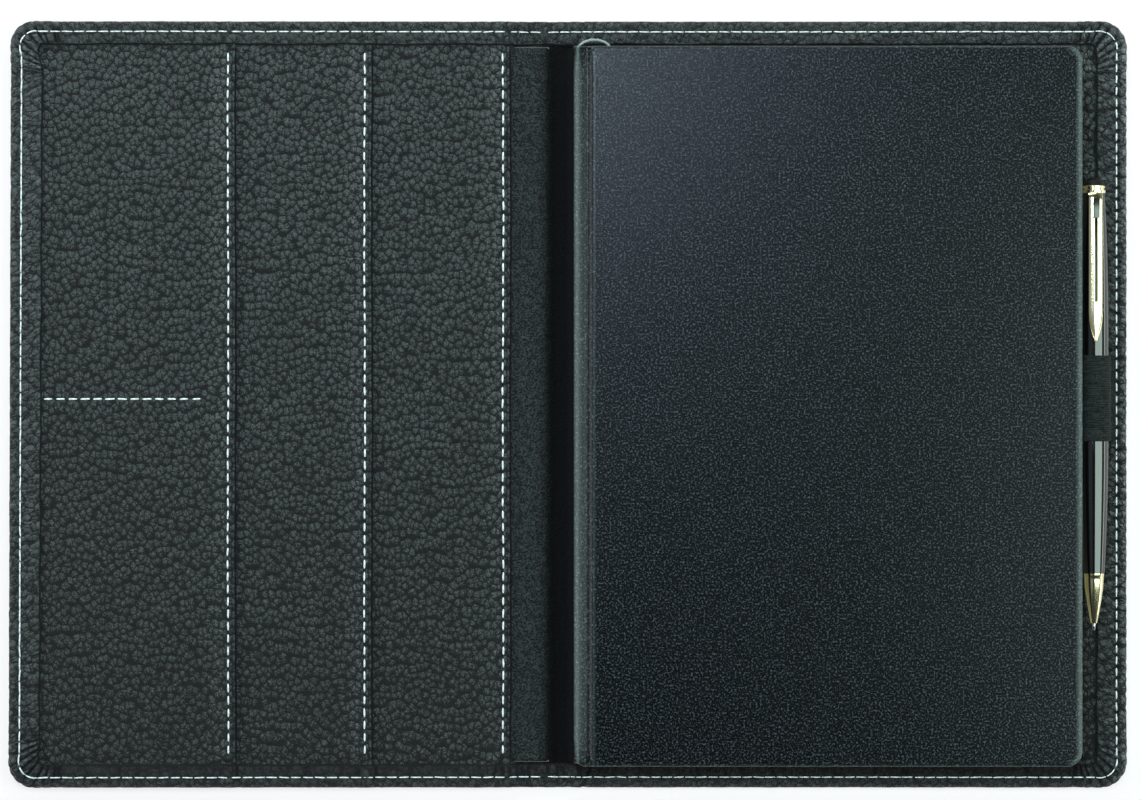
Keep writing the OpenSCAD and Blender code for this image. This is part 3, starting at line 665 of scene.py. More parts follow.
def cover_shell(name, stations, insets, heights, place, material, angle=40, mark=None, painted_light=None):
    """Closes a cover from its edge columns. The first and the last column reach the inner points."""
    count, columns = insets.shape
    share = insets / stations["depth"][:, None]
    run = stations["foot"] - stations["edge"]
    flat = stations["edge"][:, None] + share[..., None] * run[:, None]
    ring = np.concatenate([flat, heights[..., None]], 2)
    heads = stations["heads"]
    inner = stations["half"] - stations["reach"]
    rows = np.linspace(inner, -inner, SIDE_ROWS + 1)
    points = [ring.reshape(-1, 3)]
    marks = [np.stack([np.broadcast_to(stations["way"][:, None], insets.shape) * MM, insets * MM,
                       mark if mark is not None else np.zeros_like(insets)], 2).reshape(-1, 3)]
    starts = []
    for column in (0, columns - 1):
        starts.append(sum(len(p) for p in points))
        level = heights[:len(heads), column]
        grid = np.stack([
            np.repeat(heads, len(rows)), np.tile(rows, len(heads)), np.repeat(level, len(rows))], 1)
        points.append(grid)
        marks.append(np.zeros_like(grid))
    faces = []
    for a in range(count - 1):
        for b in range(columns - 1):
            c = a * columns + b
            faces.append((c, c + 1, c + columns + 1, c + columns))
    pitch = stations["side_count"] * 2 // SIDE_ROWS
    for start, column in zip(starts, (0, columns - 1), strict=True):
        for a in range(len(heads) - 1):
            for b in range(SIDE_ROWS):
                c = start + a * len(rows) + b
                if a < len(heads) - 2:
                    faces.append((c, c + 1, c + 1 + len(rows), c + len(rows)))
                    continue
                first = stations["side_start"] + b * pitch
                side = [(first + k) * columns + column for k in range(pitch, -1, -1)]
                faces.append((c, c + 1, *side))
    under = [starts[0] + b for b in range(1, SIDE_ROWS)]
    over = [starts[1] + b for b in range(1, SIDE_ROWS)]
    head = list(range(columns))
    tail = [(count - 1) * columns + b for b in range(columns - 1, -1, -1)]
    faces.append((*head, *over, *tail, *under[::-1]))
    points = np.concatenate(points)
    x = place[0] + place[1] * points[:, 0]
    world = np.stack([x, points[:, 1], points[:, 2]], 1)
    ring_world = np.stack([place[0] + place[1] * ring[..., 0], ring[..., 1], ring[..., 2]], 2)
    painted_light_values = np.zeros(len(points))
    if painted_light is not None:
        painted_light_values[:painted_light.size] = painted_light.ravel()
        for start, column in zip(starts, (0, columns - 1), strict=True):
            size = len(heads) * len(rows)
            painted_light_values[start:start + size] = np.repeat(painted_light[:len(heads), column], len(rows))
    return shell(name, world, faces, material, angle, np.concatenate(marks), painted_light_values), ring_world


def loft(name, loops, material, angle=40, painted_light_values=None):
    """A closed piece through loops of points, in millimetres, with its two ends closed."""
    count, size = loops.shape[:2]
    faces = []
    for a in range(count - 1):
        for b in range(size):
            c = a * size + b
            d = a * size + (b + 1) % size
            faces.append((c, d, d + size, c + size))
    faces.append(tuple(range(size)))
    faces.append(tuple(range(count * size - 1, (count - 1) * size - 1, -1)))
    return shell(name, loops.reshape(-1, 3), faces, material, angle, painted_light_values=painted_light_values)


def inside_corners(x, y, edge_x, margin):
    """Pulls the corners of a square sheet in to the rounded outline of the folio."""
    side = math.copysign(1, edge_x)
    centre_x = edge_x - side * CORNER
    centre_y = HALF - CORNER
    off_x = side * (x - centre_x)
    off_y = np.abs(y) - centre_y
    far = np.hypot(off_x, off_y)
    pull = np.minimum(1, (CORNER - margin) / np.maximum(far, 1e-6))
    pull = np.where((off_x > 0) & (off_y > 0), pull, 1)
    y_in = np.sign(y) * (centre_y + off_y * pull)
    return np.where(pull < 1, centre_x + side * off_x * pull, x), np.where(pull < 1, y_in, y)


def sheet_between(name, across, along, top, bottom, material, angle=40, painted_light=None):
    """A closed sheet over a grid, between a top and a bottom level, all in millimetres."""
    columns = np.stack([across, along, top], 2)[:, :, None]
    under = np.stack([across, along, bottom], 2)[:, :, None]
    count, rows = top.shape
    points = np.concatenate([columns, under], 2).reshape(-1, 3)
    faces = []

    def at(a, b, side):
        return (a * rows + b) * 2 + side

    for a in range(count - 1):
        for b in range(rows - 1):
            faces.append((at(a, b, 0), at(a + 1, b, 0), at(a + 1, b + 1, 0), at(a, b + 1, 0)))
            faces.append((at(a, b, 1), at(a, b + 1, 1), at(a + 1, b + 1, 1), at(a + 1, b, 1)))
    for a in range(count - 1):
        faces.append((at(a, 0, 0), at(a, 0, 1), at(a + 1, 0, 1), at(a + 1, 0, 0)))
        b = rows - 1
        faces.append((at(a, b, 0), at(a + 1, b, 0), at(a + 1, b, 1), at(a, b, 1)))
    for b in range(rows - 1):
        faces.append((at(0, b, 0), at(0, b + 1, 0), at(0, b + 1, 1), at(0, b, 1)))
        a = count - 1
        faces.append((at(a, b, 0), at(a, b, 1), at(a, b + 1, 1), at(a, b + 1, 0)))
    painted_light_values = None if painted_light is None else np.stack([painted_light, painted_light * 0], 2)
    return shell(name, points, faces, material, angle, painted_light_values=painted_light_values)


def turned(name, profile, centre, way, sides, material, angle=35):
    """A round piece drawn ring by ring along an axis. The profile is (radius, distance) in mm."""
    select_none()
    centre = np.asarray(centre, float)
    way = np.asarray(way, float)
    lie = Vector(way).to_track_quat("Z", "Y").to_euler()
    start = (centre + way * profile[0][1]) * MM
    bpy.ops.mesh.primitive_circle_add(
        vertices=sides, radius=profile[0][0] * MM, fill_type="NGON", location=start, rotation=lie)
    piece = bpy.context.object
    bpy.ops.object.mode_set(mode="EDIT")
    bpy.ops.mesh.select_all(action="SELECT")
    for (near, low), (far, high) in zip(profile, profile[1:], strict=False):
        bpy.ops.mesh.extrude_region_move(
            TRANSFORM_OT_translate={"value": tuple(way * (high - low) * MM)})
        grow = np.where(np.abs(way) > 0.5, 1.0, far / near)
        middle = (centre + way * high) * MM
        bpy.ops.transform.resize(value=tuple(grow), center_override=tuple(middle))
    bpy.ops.object.mode_set(mode="OBJECT")
    finish_piece(piece, name, material, angle)
    recalculate(piece)
    return piece


def recalculate(piece):
    """Merges doubles, then points all faces outwards."""
    pick(piece)
    edit_all(bpy.ops.mesh.remove_doubles, threshold=1e-7)
    edit_all(bpy.ops.mesh.normals_make_consistent, inside=False)


# ---------- the outer leather ----------

# Valleys between the gathers round a corner, as ways along the outline from its middle.
GATHERS = np.array([-14.6, -11.4, -8.3, -5.2, -2.0, 1.2, 4.5, 7.7, 11.0, 14.4])

# Columns of a half's edge. They run from below, round the outside and over the top, to under the
# cut. A slice is a strip of them.
SEAM_BELOW = 6
ROLL = slice(8, 19)  # the rounding, from its underside to its top
ROLL_SIDE = slice(9, 18)  # the part of it that faces sideways
ROLL_TO_SEAM = slice(13, 20)  # its upper half, and on to the seam
TURNED_IN = slice(12, 29)  # all that shows of the turned edge
BESIDE_SEAM = slice(18, 20)  # between the rounding and the seam
SEAM_ABOVE = 20
SEAM_TO_CUT = slice(20, 29)
INNER_FLAT = slice(21, 28)
BRINK = 28  # the last column before the cut edge
CUT_EDGE = slice(29, 33)


def hem_level(x):
    """Height of the turned edge's top across the spread. It climbs at the folds and over each
    pocket below it."""
    on_left = ease((LEFT_FOLD_X + 2.2 - x) / FOLD_CLIMB)
    on_right = ease((x - RIGHT_FOLD_X + 2.6) / FOLD_CLIMB)
    level = SPINE_HIGH[2] * np.ones_like(x)
    level += (INSIDE_Z + 2 * SHEET - SPINE_HIGH[2]) * on_left
    for pocket_x in (MIDDLE_HIGH[0], CARD_HIGH[0]):
        level += SHEET * ease((pocket_x + POCKET_LEAD - x) / POCKET_CLIMB)
    level += (INSIDE_Z + SHEET - SPINE_HIGH[2]) * on_right
    level += SHEET * ease((x - FLAP_LOW[0] + POCKET_LEAD) / POCKET_CLIMB)
    return level


def gathers(corner_way, chance):
    """Gathers round a corner, from 0 in a valley to 1 on a crest."""
    valleys = GATHERS + chance.uniform(-0.45, 0.45, len(GATHERS))
    sizes = chance.uniform(0.7, 1.0, len(GATHERS))
    cell = np.clip(np.searchsorted(valleys, corner_way) - 1, 0, len(valleys) - 2)
    share = np.clip((corner_way - valleys[cell]) / (valleys[cell + 1] - valleys[cell]), 0, 1)
    crest = np.sin(math.pi * share ** 0.8) ** 0.7
    return sizes[cell] * crest * ease((14.6 - np.abs(corner_way)) / 4)


def hem_relief(stations, insets, folds, seed, fans):
    """How far the turned edge's leather stands off its even level, in mm, and its tones.

    A tone is painted light: above 0 where shade is painted dark down in a crease, and below 0 where a
    ridge is painted pale as a highlight.
    """
    chance = np.random.default_rng(seed)
    way = stations["way"][:, None]
    corner = stations["corner"]
    middle = len(way) // 2
    relief = np.zeros_like(insets)
    for length, size in ((37, 0.06), (17, 0.05), (7.3, 0.04)):
        relief += size * np.sin(2 * math.pi * way / length + chance.uniform(0, 6) + insets * 0.15)
    crest = np.concatenate([gathers(corner[:middle], chance), gathers(corner[middle:], chance)])
    seam = hump(insets - SEAM, 0.7)
    strength = (0.5 + 0.5 * ease((insets - 0.5) / 3)) * (1 - 0.4 * seam)
    relief += 1.35 * (crest[:, None] - 0.35 * (crest[:, None] > 0)) * strength
    at_corner = ease((15.0 - np.abs(corner)) / 3)[:, None]
    # Painted light round a corner: the gathers' valleys painted dark as shade, their crests pale as
    # highlights.
    tone = at_corner * ease((insets - 1.0) / 2.0) * (
        2.6 * np.clip(0.5 - crest[:, None], 0, 0.5) - 1.5 * np.clip(crest[:, None] - 0.52, 0, 0.5))
    total = stations["way"][-1]
    # Small creases, each painted dark as shade in its hollow.
    for place in np.arange(3, total, 3.6):
        at = place + chance.uniform(-1.8, 1.8)
        depth = chance.uniform(0.05, 0.24)
        width = chance.uniform(0.4, 0.65)
        slant = chance.uniform(-0.5, 0.5)
        crease = depth * hump((way - at) - slant * (insets - 4), width)
        relief -= crease
        tone += 1.1 * crease
    # Folds: painted dark as shade in the hollow, and pale as a highlight on the ridge beside it.
    for at, depth, width, slant in folds:
        off = (way - at) - slant * (insets - 4)
        relief -= depth * hump(off, width)
        tone += 2.2 * depth * hump(off / width, 0.7)
        relief += 0.45 * depth * hump(off - 1.5 * width, width)
        tone -= 0.9 * depth * hump(off - 1.5 * width, width)
    on_side = ease(1 - np.abs(stations["inward"][:, 1:]) * 5)
    straight = ease((np.abs(corner) - 16) / 3)[:, None] * on_side
    # Creases fan out from each stitch, painted dark as shade; the plate between them is painted pale
    # as a highlight.
    for place in fans:
        for lean in (0.42, -0.42):
            off = way - (total / 2 - place) - (lean + chance.uniform(-0.12, 0.12)) * (insets - SEAM)
            crease = chance.uniform(0.15, 0.42) * hump(off, 0.42) * straight
            relief -= crease
            tone += 2.2 * crease
        off = way - (total / 2 - place) - RIGHT_PITCH / 2
        plate = hump(off, 1.0) * hump(insets - SEAM - 1.9, 1.2) * straight
        tone -= chance.uniform(0.1, 0.5) * plate
    relief -= 0.30 * seam
    relief -= 0.05 * seam * np.cos(2 * math.pi * way / STITCH_PITCH)
    return relief, np.clip(tone, -0.6, 0.95)


def cut_inset(stations):
    """Where the turned edge ends, as a distance in from the outline at each station."""
    edge = stations["edge"]
    foot = stations["foot"]
    run = np.abs(edge - foot)
    head = (np.abs(edge[:, 1]) - (stations["half"] - HEM)) / np.maximum(run[:, 1], 1e-6)
    side = (edge[:, 0] - (stations["length"] - SIDE_HEM)) / np.maximum(run[:, 0], 1e-6)
    far = 9
    head = np.where(run[:, 1] < 1e-6, -far, np.clip(head, -far, far))
    side = np.where(run[:, 0] < 1e-6, -far, np.clip(side, -far, far))
    both = np.maximum(head, side) + 0.05 * np.exp(-np.abs(head - side) / 0.06)
    return both * stations["depth"]


def fold_marks(stations, places):
    """Creases across the turned edge at head and tail alike, from (x, depth, width, slant)."""
    found = []
    total = stations["way"][-1]
    for x, depth, width, slant in places:
        along = abs(x - MIDDLE_X)
        found.append((along, depth, width, slant))
        found.append((total - along, depth * 0.9, width, -slant))
    return found


def folio_skin(name, side, edge_x, folds, side_folds, fans, seed, material):
    """One half of the outer leather, from the middle of the spine, with its edges turned in.

    Returns the piece and the lines that its seam follows inside and outside.
    """
    length = abs(side * edge_x - MIDDLE_X)
    heads = np.linspace(0, length - REACH, int((length - REACH) / 0.7) + 1)
    stations = edge_stations(heads, HALF, CORNER, REACH, 0.55)
    edge_at = MIDDLE_X + side * stations["edge"][:, 0]
    top = hem_level(edge_at)[:, None]
    way = stations["way"][:, None]
    cut = cut_inset(stations)[:, None] + 0.10 * np.sin(way / 5.3) + 0.07 * np.sin(way / 1.9 + seed)
    depth = stations["depth"][:, None]
    columns = [(depth, 0.0, 0)]  # way in from the outline, height, and how much relief it takes
    for inset in (10, 6, 4.4, 3.9, 3.5, SEAM, 2.8):
        columns.append((inset, 0.34 * math.exp(-((inset - SEAM) / 0.6) ** 2), 0))
    fullness = 0.85
    for degrees in np.linspace(-90, 90, 11):
        bend = math.radians(degrees)
        out = EDGE_ROUND * (1 - abs(math.cos(bend)) ** fullness)
        up = math.copysign(abs(math.sin(bend)) ** fullness, bend)
        columns.append((out, top / 2 * (1 + up), max(0.0, math.sin(bend))))
    flat_from = 4.9
    columns += [(inset, top, 1) for inset in (2.7, SEAM, 3.7, 4.2, flat_from)]
    for share in (0.3, 0.6, 0.85, 1.0):
        columns.append((flat_from + share * (cut - 0.8 - flat_from), top, 1))
    columns += [
        (cut - 0.56, top, 1), (cut - 0.4, top - 0.1, 1), (cut - 0.06, top - 0.45, 0.7),
        (cut, top - 0.78, 0), (4, top - 0.78, 0), (1.8, top - 0.82, 0), (1.15, top / 2, 0),
        (1.8, 1.0, 0), (4, 1.0, 0), (depth, 1.0, 0)]
    insets, levels, lifts = (side_by_side(c, len(edge_at)) for c in zip(*columns, strict=True))
    total = stations["way"][-1]
    marks = fold_marks(stations, folds)
    marks += [(total / 2 - y, depth, width, slant) for y, depth, width, slant in side_folds]
    relief, painted_light = hem_relief(stations, insets, marks, seed, fans)
    levels = levels + relief * lifts
    rounding = np.zeros(insets.shape[1])
    rounding[ROLL] = np.cos(np.radians(np.linspace(-90, 90, 11)))
    insets = insets - 0.35 * relief * rounding[None]
    mark = np.zeros_like(insets)
    at_side = np.clip(1 - np.abs(stations["inward"][:, 1]), 0, 1)
    at_tail = np.clip(stations["inward"][:, 1], 0, 1)
    at_head = np.clip(-stations["inward"][:, 1], 0, 1)
    if side < 0:  # the left fore edge draws in a little, and more towards the head
        headward = (0.5 + stations["edge"][:, 1] / HALF / 2)[:, None]
        drawn_in = np.interp(insets, (0, SEAM, SIDE_HEM, REACH), (0.1, 0.4, 0.5, 0))
        drawn_in += headward * np.interp(insets, (0, SEAM, SIDE_HEM, REACH), (0.75, 0.75, 1.0, 0))
        insets = insets + drawn_in * at_side[:, None]
    plated = np.maximum(at_side, 0.32 if side > 0 else 0.8)
    gathered = 1.8 * ease((14.5 - np.abs(stations["corner"])) / 4)
    mark[:, TURNED_IN] = np.maximum(plated, gathered)[:, None]
    # Painted light on the turned edge: above 0 is painted shade, below 0 a painted highlight.
    painted_light = painted_light * (mark > 0)
    # Just inside the cut edge, a little painted shade.
    painted_light[:, BRINK] = 0.15
    # The cut edge is black edge paint, painted wide enough to stand in for the shadow gap beside it
    # too.
    painted_light[:, CUT_EDGE] = 1
    # Head and tail are painted darker as shade, the tail most.
    painted_light[:, ROLL_TO_SEAM] += (0.34 * at_tail + 0.28 * at_head)[:, None]
    painted_light[:, SEAM_TO_CUT] += (0.74 * at_tail + 0.3 * at_head)[:, None]
    # The rounding that faces sideways is painted pale as a highlight, much more on the right.
    painted_light[:, ROLL_SIDE] -= (0.12 if side < 0 else 1.0) * at_side[:, None]
    # A line of painted shade beside the seam.
    painted_light[:, BESIDE_SEAM] += 0.22
    # The flat inside a fore edge is painted a little paler as a highlight.
    painted_light[:, INNER_FLAT] -= (0.08 if side < 0 else 0.2) * at_side[:, None]
    piece, ring = cover_shell(
        name, stations, insets, levels, (MIDDLE_X, side), material, 42, mark, painted_light)
    return piece, ring[:, SEAM_ABOVE], ring[:, SEAM_BELOW]


def near_fold(places, chance):
    """Close creases across the turned edge, at a list of places: (place, depth, width, slant)."""
    return [(place, chance.uniform(0.12, 0.3), chance.uniform(0.5, 0.8), chance.uniform(-0.4, 0.4))
            for place in places]


def make_covers(leather):
    """Both halves of the outer leather."""
    chance = np.random.default_rng(3)
    left_folds = near_fold((-9.2, -11.4, -13.3, -15.2, -17.2, -19.3, -22.0), chance)
    for edge in (MIDDLE_HIGH[0], CARD_HIGH[0]):
        left_folds += [(edge + 1.6, 0.22, 0.55, 0.1), (edge - 1.2, -0.16, 0.8, 0),
                       (edge - 3.6, 0.16, 0.6, -0.2)]
    left_side = near_fold((96, 92, -92, -88, -84, 71, 43, 12, -27, -61), chance)
    left, left_seam, left_under = folio_skin(
        "left_outer_leather", -1, LEFT_EDGE, left_folds, left_side, [], 11, leather)
    right_folds = near_fold((-5.6, -3.2, -1.0, 1.4, 3.6, 6.1, 9.0), chance)
    right_folds += [(FLAP_LOW[0] - 1.6, 0.16, 0.6, 0)]
    beside_loop = np.arange(LOOP_LOW[1] - 4, LOOP_HIGH[1] + 6, 2.3)
    right_side = [(y + chance.uniform(-0.4, 0.4), chance.uniform(0.18, 0.38), 0.6,
                   0.55 * (-1) ** k) for k, y in enumerate(beside_loop)]
    right_side += near_fold((98, 93, 88, -80, -84, -88, -92, -97, 62, 40, -40), chance)
    fans = np.arange(-27, 28) * RIGHT_PITCH
    right, right_seam, right_under = folio_skin(
        "right_outer_leather", 1, RIGHT_EDGE, right_folds, right_side, fans, 23, leather)
    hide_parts("left_cover_leather", "spine_leather")
    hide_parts("right_cover_leather", "spine_leather")
    bend_left(left)
    bend_right(right)
    return (left_seam, left_under), (right_seam, right_under)


def bend_left(piece):
    """Puts a piece's place into its mesh. It does not bend the piece round the left fold."""
    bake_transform(piece)


def bend_right(piece):
    """Puts a piece's place into its mesh. It does not bend the piece round the right fold."""
    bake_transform(piece)


# ---------- linings ----------


def lining_level(x, y):
    """Height of the lining's face. It drops into the valley beside the notebook, and at head and
    tail of the spine, where the turned edge covers it."""
    low = SPINE_LOW[2] + 1.4
    valley = ease((x - VALLEY[0]) / 2.8) * ease((VALLEY[1] - x) / 2.2)
    level = INSIDE_Z - (INSIDE_Z - low) * valley
    on_spine = ease((x - LEFT_FOLD_X - 0.2) / 0.8) * ease((RIGHT_FOLD_X - 0.1 - x) / 0.8)
    ends = ease((np.abs(y) - (HALF - HEM) + 1.3) / 1.6)
    return level - (level - low) * ends * on_spine


def make_linings(lining):
    """Smooth linings that meet in the middle of the spine and run under every edge. Their rows
    are close where they drop at head and tail."""
    reach = HALF - 1.3
    ends = [reach, 110, 108.6, 107.9, 107.5, 107.1, 106.7, 106.3, 105.5, 103, 80, 40]
    rows = np.array([-y for y in ends] + [0] + ends[::-1])
    left_x = np.concatenate([
        np.arange(MIDDLE_X, -21.5, -0.6), [-24, -40, -80, -120, -(LEFT_EDGE - TUCK)]])
    right_x = np.concatenate([
        np.arange(MIDDLE_X, 6.5, 0.4), [9, 40, 80, 103, 130, RIGHT_EDGE - TUCK]])
    made = []
    for name, xs in (("left_lining_skin", left_x), ("right_lining_skin", right_x)):
        across, along = np.meshgrid(xs, rows, indexing="ij")
        top = lining_level(across, along)
        ripple = 0.05 * np.sin(along / 11) * np.sin(across / 3.1 + 1)
        top = top + ripple * ease((105 - np.abs(along)) / 5) * ease((-2 - across) / 4)
        across, along = inside_corners(across, along, math.copysign(RIGHT_EDGE, xs[-1]), TUCK)
        piece = sheet_between(name, across, along, top, top - 0.36, lining)
        made.append(piece)
    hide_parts("left_cover_lining", "spine_lining")
    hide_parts("right_cover_lining", "spine_lining")
    bend_left(made[0])
    bend_right(made[1])


# ---------- pockets on the left ----------

# Rows of a pocket's free edge, from under it, round its lip and over its seam: way in from the
# edge, height, and painted light: above 0 painted dark as shade, black under the lip as its
# shadow, and below 0 painted pale as a highlight.
POCKET_LIP = np.array([
    (0.8, 0.06, 1), (-0.45, 0.08, 1), (-0.5, 0.16, 1), (0.12, 0.3, 1), (0.12, 0.38, 1),
    (0.08, 0.56, 0.6), (0.0, 0.8, -0.5), (0.1, 1.02, -0.7), (0.3, 1.16, -0.6), (0.55, 1.19, -0.2),
    (0.75, 1.09, 0.9), (0.95, 1.2, -0.2), (1.3, 1.27, -0.5), (1.6, 1.2, -0.5), (1.8, 1.06, -0.3),
    (POCKET_SEAM, 0.97, 0), (2.2, 1.05, 0), (2.45, 1.2, 0), (2.8, 1.29, -0.3), (3.6, 1.3, -0.45),
    (4.8, 1.27, -0.45), (6.0, 1.19, -0.3), (7.2, 1.06, -0.15), (8.4, 0.93, 0), (9.6, 0.84, 0),
    (11, 0.8, 0)])
LIP_TOP = 6  # the first of these rows that lies on top


def pocket_relief(x, y, seed):
    """Slow swells in a pocket's leather, which die out towards its sewn sides."""
    chance = np.random.default_rng(seed)
    swell = np.zeros_like(x)
    for _ in range(7):
        turn = chance.uniform(0, math.pi)
        length = chance.uniform(24, 70)
        run = (x * math.cos(turn) + y * math.sin(turn)) / length
        swell += 0.035 * np.sin(2 * math.pi * run + chance.uniform(0, 6))
    return swell * ease((104 - np.abs(y)) / 9) * ease((LEFT_EDGE - SIDE_HEM - 4 + x) / 9)


def pocket_panel(name, edge_x, base, seed, leather, divider=None):
    """A pocket panel with a folded, rounded free edge. Its lip hangs a little off what lies below.

    Returns the piece and the line that its seam follows.
    """
    far = LEFT_EDGE - TUCK + edge_x
    lip, lip_painted_light = POCKET_LIP[:, :2].tolist(), POCKET_LIP[:, 2]
    body = [14 + 3.2 * k for k in range(int((far - 16) / 3.2))]
    flat = [(e, 0.8) for e in body] + [(far, 0.8)]
    back = [(e, 0.06 if e > far - 12 else 0.22) for e in (far, far - 12, far / 2, 20, 6)]
    section = np.array(lip + flat + back)
    with_painted_light = np.concatenate([lip_painted_light, np.zeros(len(flat) + len(back))])
    reach = HALF - TUCK
    rows = list(np.arange(-106.6, 106.7, STITCH_PITCH / 4))
    if divider is not None:
        rows = [y for y in rows if abs(y - divider) > 2.2]
        rows += [divider + d for d in (-2, -1.4, -0.9, -0.5, -0.2, 0, 0.2, 0.5, 0.9, 1.4, 2)]
    rows += [s * y for s in (-1, 1) for y in (107.1, 107.6, 108.6, 110.5, reach)]
    rows = np.array(sorted(rows))
    e = np.broadcast_to(section[:, 0], (len(rows), len(section)))
    rise = np.broadcast_to(section[:, 1], e.shape)
    y = np.broadcast_to(rows[:, None], e.shape)
    x = edge_x - e
    tucked = ease((np.abs(y) - 106.2) / 1.5)
    rise = np.where(rise > 0.7, rise + (0.78 - rise) * tucked, rise * (1 - tucked) + 0.04 * tucked)
    row = np.arange(len(section))
    on_top = (row >= LIP_TOP) & (row < len(lip) + len(flat))
    swell = pocket_relief(x, y, seed) * ease(e / 6)
    seam = hump(e - POCKET_SEAM, 0.45)
    holes = 0.12 * seam * np.cos(2 * math.pi * (y - rows.min()) / STITCH_PITCH)
    relief = (swell - holes) * on_top[None]
    if divider is not None:
        from_line = y - divider
        sewn = ease((e - 7.5) / 2) * ease((far - 6 - e) / 3)
        relief = relief + on_top[None] * sewn * (
            0.16 * hump(np.abs(from_line) - 1.7, 1.1)
            - 0.26 * hump(from_line, 0.45))
    wander = 0.10 * np.sin(y / 19 + seed) + 0.05 * np.sin(y / 5.3 + 2 * seed)
    x = x + wander * ease((12 - e) / 8) * (1 - tucked)
    z = base + rise + relief
    x, y = inside_corners(x, y, -LEFT_EDGE, TUCK)
    loops = np.stack([x, y, z], 2)
    # Painted shade along the stitch line.
    seam_painted_shade = 0.6 * hump(e - POCKET_SEAM, 0.3)
    painted_light_values = np.broadcast_to(with_painted_light, e.shape) * (1 - tucked) + seam_painted_shade * on_top[None]
    piece = loft(name, loops, leather, 50, painted_light_values)
    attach(piece, "left_cover")
    column = next(k for k, point in enumerate(section) if point[0] == POCKET_SEAM)
    line = loops[np.abs(rows) < SEAM_END, column] + np.array([0, 0, 0.2])
    return piece, line


def make_pockets(leather):
    """The three stacked pockets. Returns the lines of their seams."""
    divider = (DIVIDER_LOW[1] + DIVIDER_HIGH[1]) / 2
    document, document_line = pocket_panel(
        "document_pocket_panel", DOCUMENT_HIGH[0], DOCUMENT_LOW[2], 5, leather)
    middle, middle_line = pocket_panel(
        "middle_pocket_panel", MIDDLE_HIGH[0], MIDDLE_LOW[2], 8, leather)
    card, card_line = pocket_panel(
        "card_pocket_panel", CARD_HIGH[0] + 0.6, CARD_LOW[2], 13, leather, divider)
    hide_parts("document_pocket")
    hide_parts("middle_pocket")
    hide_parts("card_pocket")
    across = np.linspace(DIVIDER_HIGH[0], DIVIDER_LOW[0], 80)
    divider_line = np.stack([
        across, np.full(80, divider), np.full(80, CARD_LOW[2] + SHEET - 0.05)], 1)
    return document_line, middle_line, card_line, divider_line


def make_flap(leather):
    """The pocket over the notebook's back board. It is raised on the board, and its outer side
    falls to the cover in soft puckers that show between the notebook and the turned edge."""
    board_x = BACK_HIGH[0]
    xs = np.concatenate([
        [FLAP_LOW[0], FLAP_LOW[0] + 0.3, FLAP_LOW[0] + 0.8, FLAP_LOW[0] + 2],
        np.arange(110, board_x - 2, 6), np.arange(board_x - 1, RIGHT_EDGE - SIDE_HEM + 1.5, 0.3),
        [162, RIGHT_EDGE - TUCK]])
    ends = [HALF - TUCK, 111, 109, 108.2, 107.9, 107.7, 107.5, 107.3, 107.1, 106.9, 106.7, 106.4,
            105.8]
    rows = np.concatenate([-np.array(ends), np.arange(-104.8, 105, 0.5), ends[::-1]])
    across, along = np.meshgrid(xs, rows, indexing="ij")
    raised = ease((board_x + 1.55 - across) / 1.35) * ease((107.55 - np.abs(along)) / 0.85)
    lower = INSIDE_Z + SHEET
    top = lower + (FLAP_HIGH[2] - lower) * raised
    chance = np.random.default_rng(31)
    pucker = np.zeros_like(top)
    for _ in range(70):
        y = chance.uniform(-106, 106)
        slant = chance.uniform(-2.2, 2.2)
        width = chance.uniform(0.45, 1.2)
        size = chance.uniform(-0.5, 0.5) * (1.0 + 0.5 * (np.abs(y) > 70))
        pucker += size * hump(along - y - slant * (across - 156), width)
    shown = ease((across - board_x - 0.6) / 2) * ease((RIGHT_EDGE - SIDE_HEM + 0.6 - across) / 1.2)
    pucker = np.clip(pucker, -0.6, 0.9) * shown * ease((107.4 - np.abs(along)) / 1.5)
    top = top + pucker
    under = np.maximum(top - 0.74, INSIDE_Z + 0.03)
    across, along = inside_corners(across, along, RIGHT_EDGE, TUCK)
    # Painted light: hollows of the puckers dark as shade, their ridges pale as highlights, the whole a
    # little paler, and a band of painted shadow beside the turned edge's cut.
    painted_light = np.clip(-pucker / 0.35, 0, 0.9) - np.clip(pucker / 0.5, 0, 0.7)
    painted_light = painted_light - 0.25 + 1.2 * ease((across - RIGHT_EDGE + SIDE_HEM + 1.0) / 0.9)
    piece = sheet_between(
        "notebook_pocket_panel", across, along, top, under, leather, 60, np.clip(painted_light, -1, 1))
    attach(piece, "right_cover")
    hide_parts("notebook_pocket")


# ---------- stitches ----------

TAUT = 4  # points to each side over which a thread's height is smoothed
LEFT_SIDE_X = -154  # beyond this a seam runs along the left fore edge
RIGHT_SIDE_X = 163  # and beyond this along the right one


def one_stitch(thread):
    """One stitch along X, as points and faces in millimetres. Its ends dip into the leather."""
    profile = [(0.10, -1.42), (0.22, -1.2), (0.27, -0.6), (0.27, 0), (0.27, 0.6), (0.22, 1.2),
               (0.10, 1.42)]
    piece = turned("stitch", profile, (0, 0, 0), (1, 0, 0), 8, thread)
    points = np.array([v.co for v in piece.data.vertices]) / MM
    faces = [tuple(p.vertices) for p in piece.data.polygons]
    bpy.data.objects.remove(piece)
    points[:, 2] = points[:, 2] * 0.72 - 0.34 * ease((np.abs(points[:, 0]) - 0.75) / 0.7)
    return points, faces


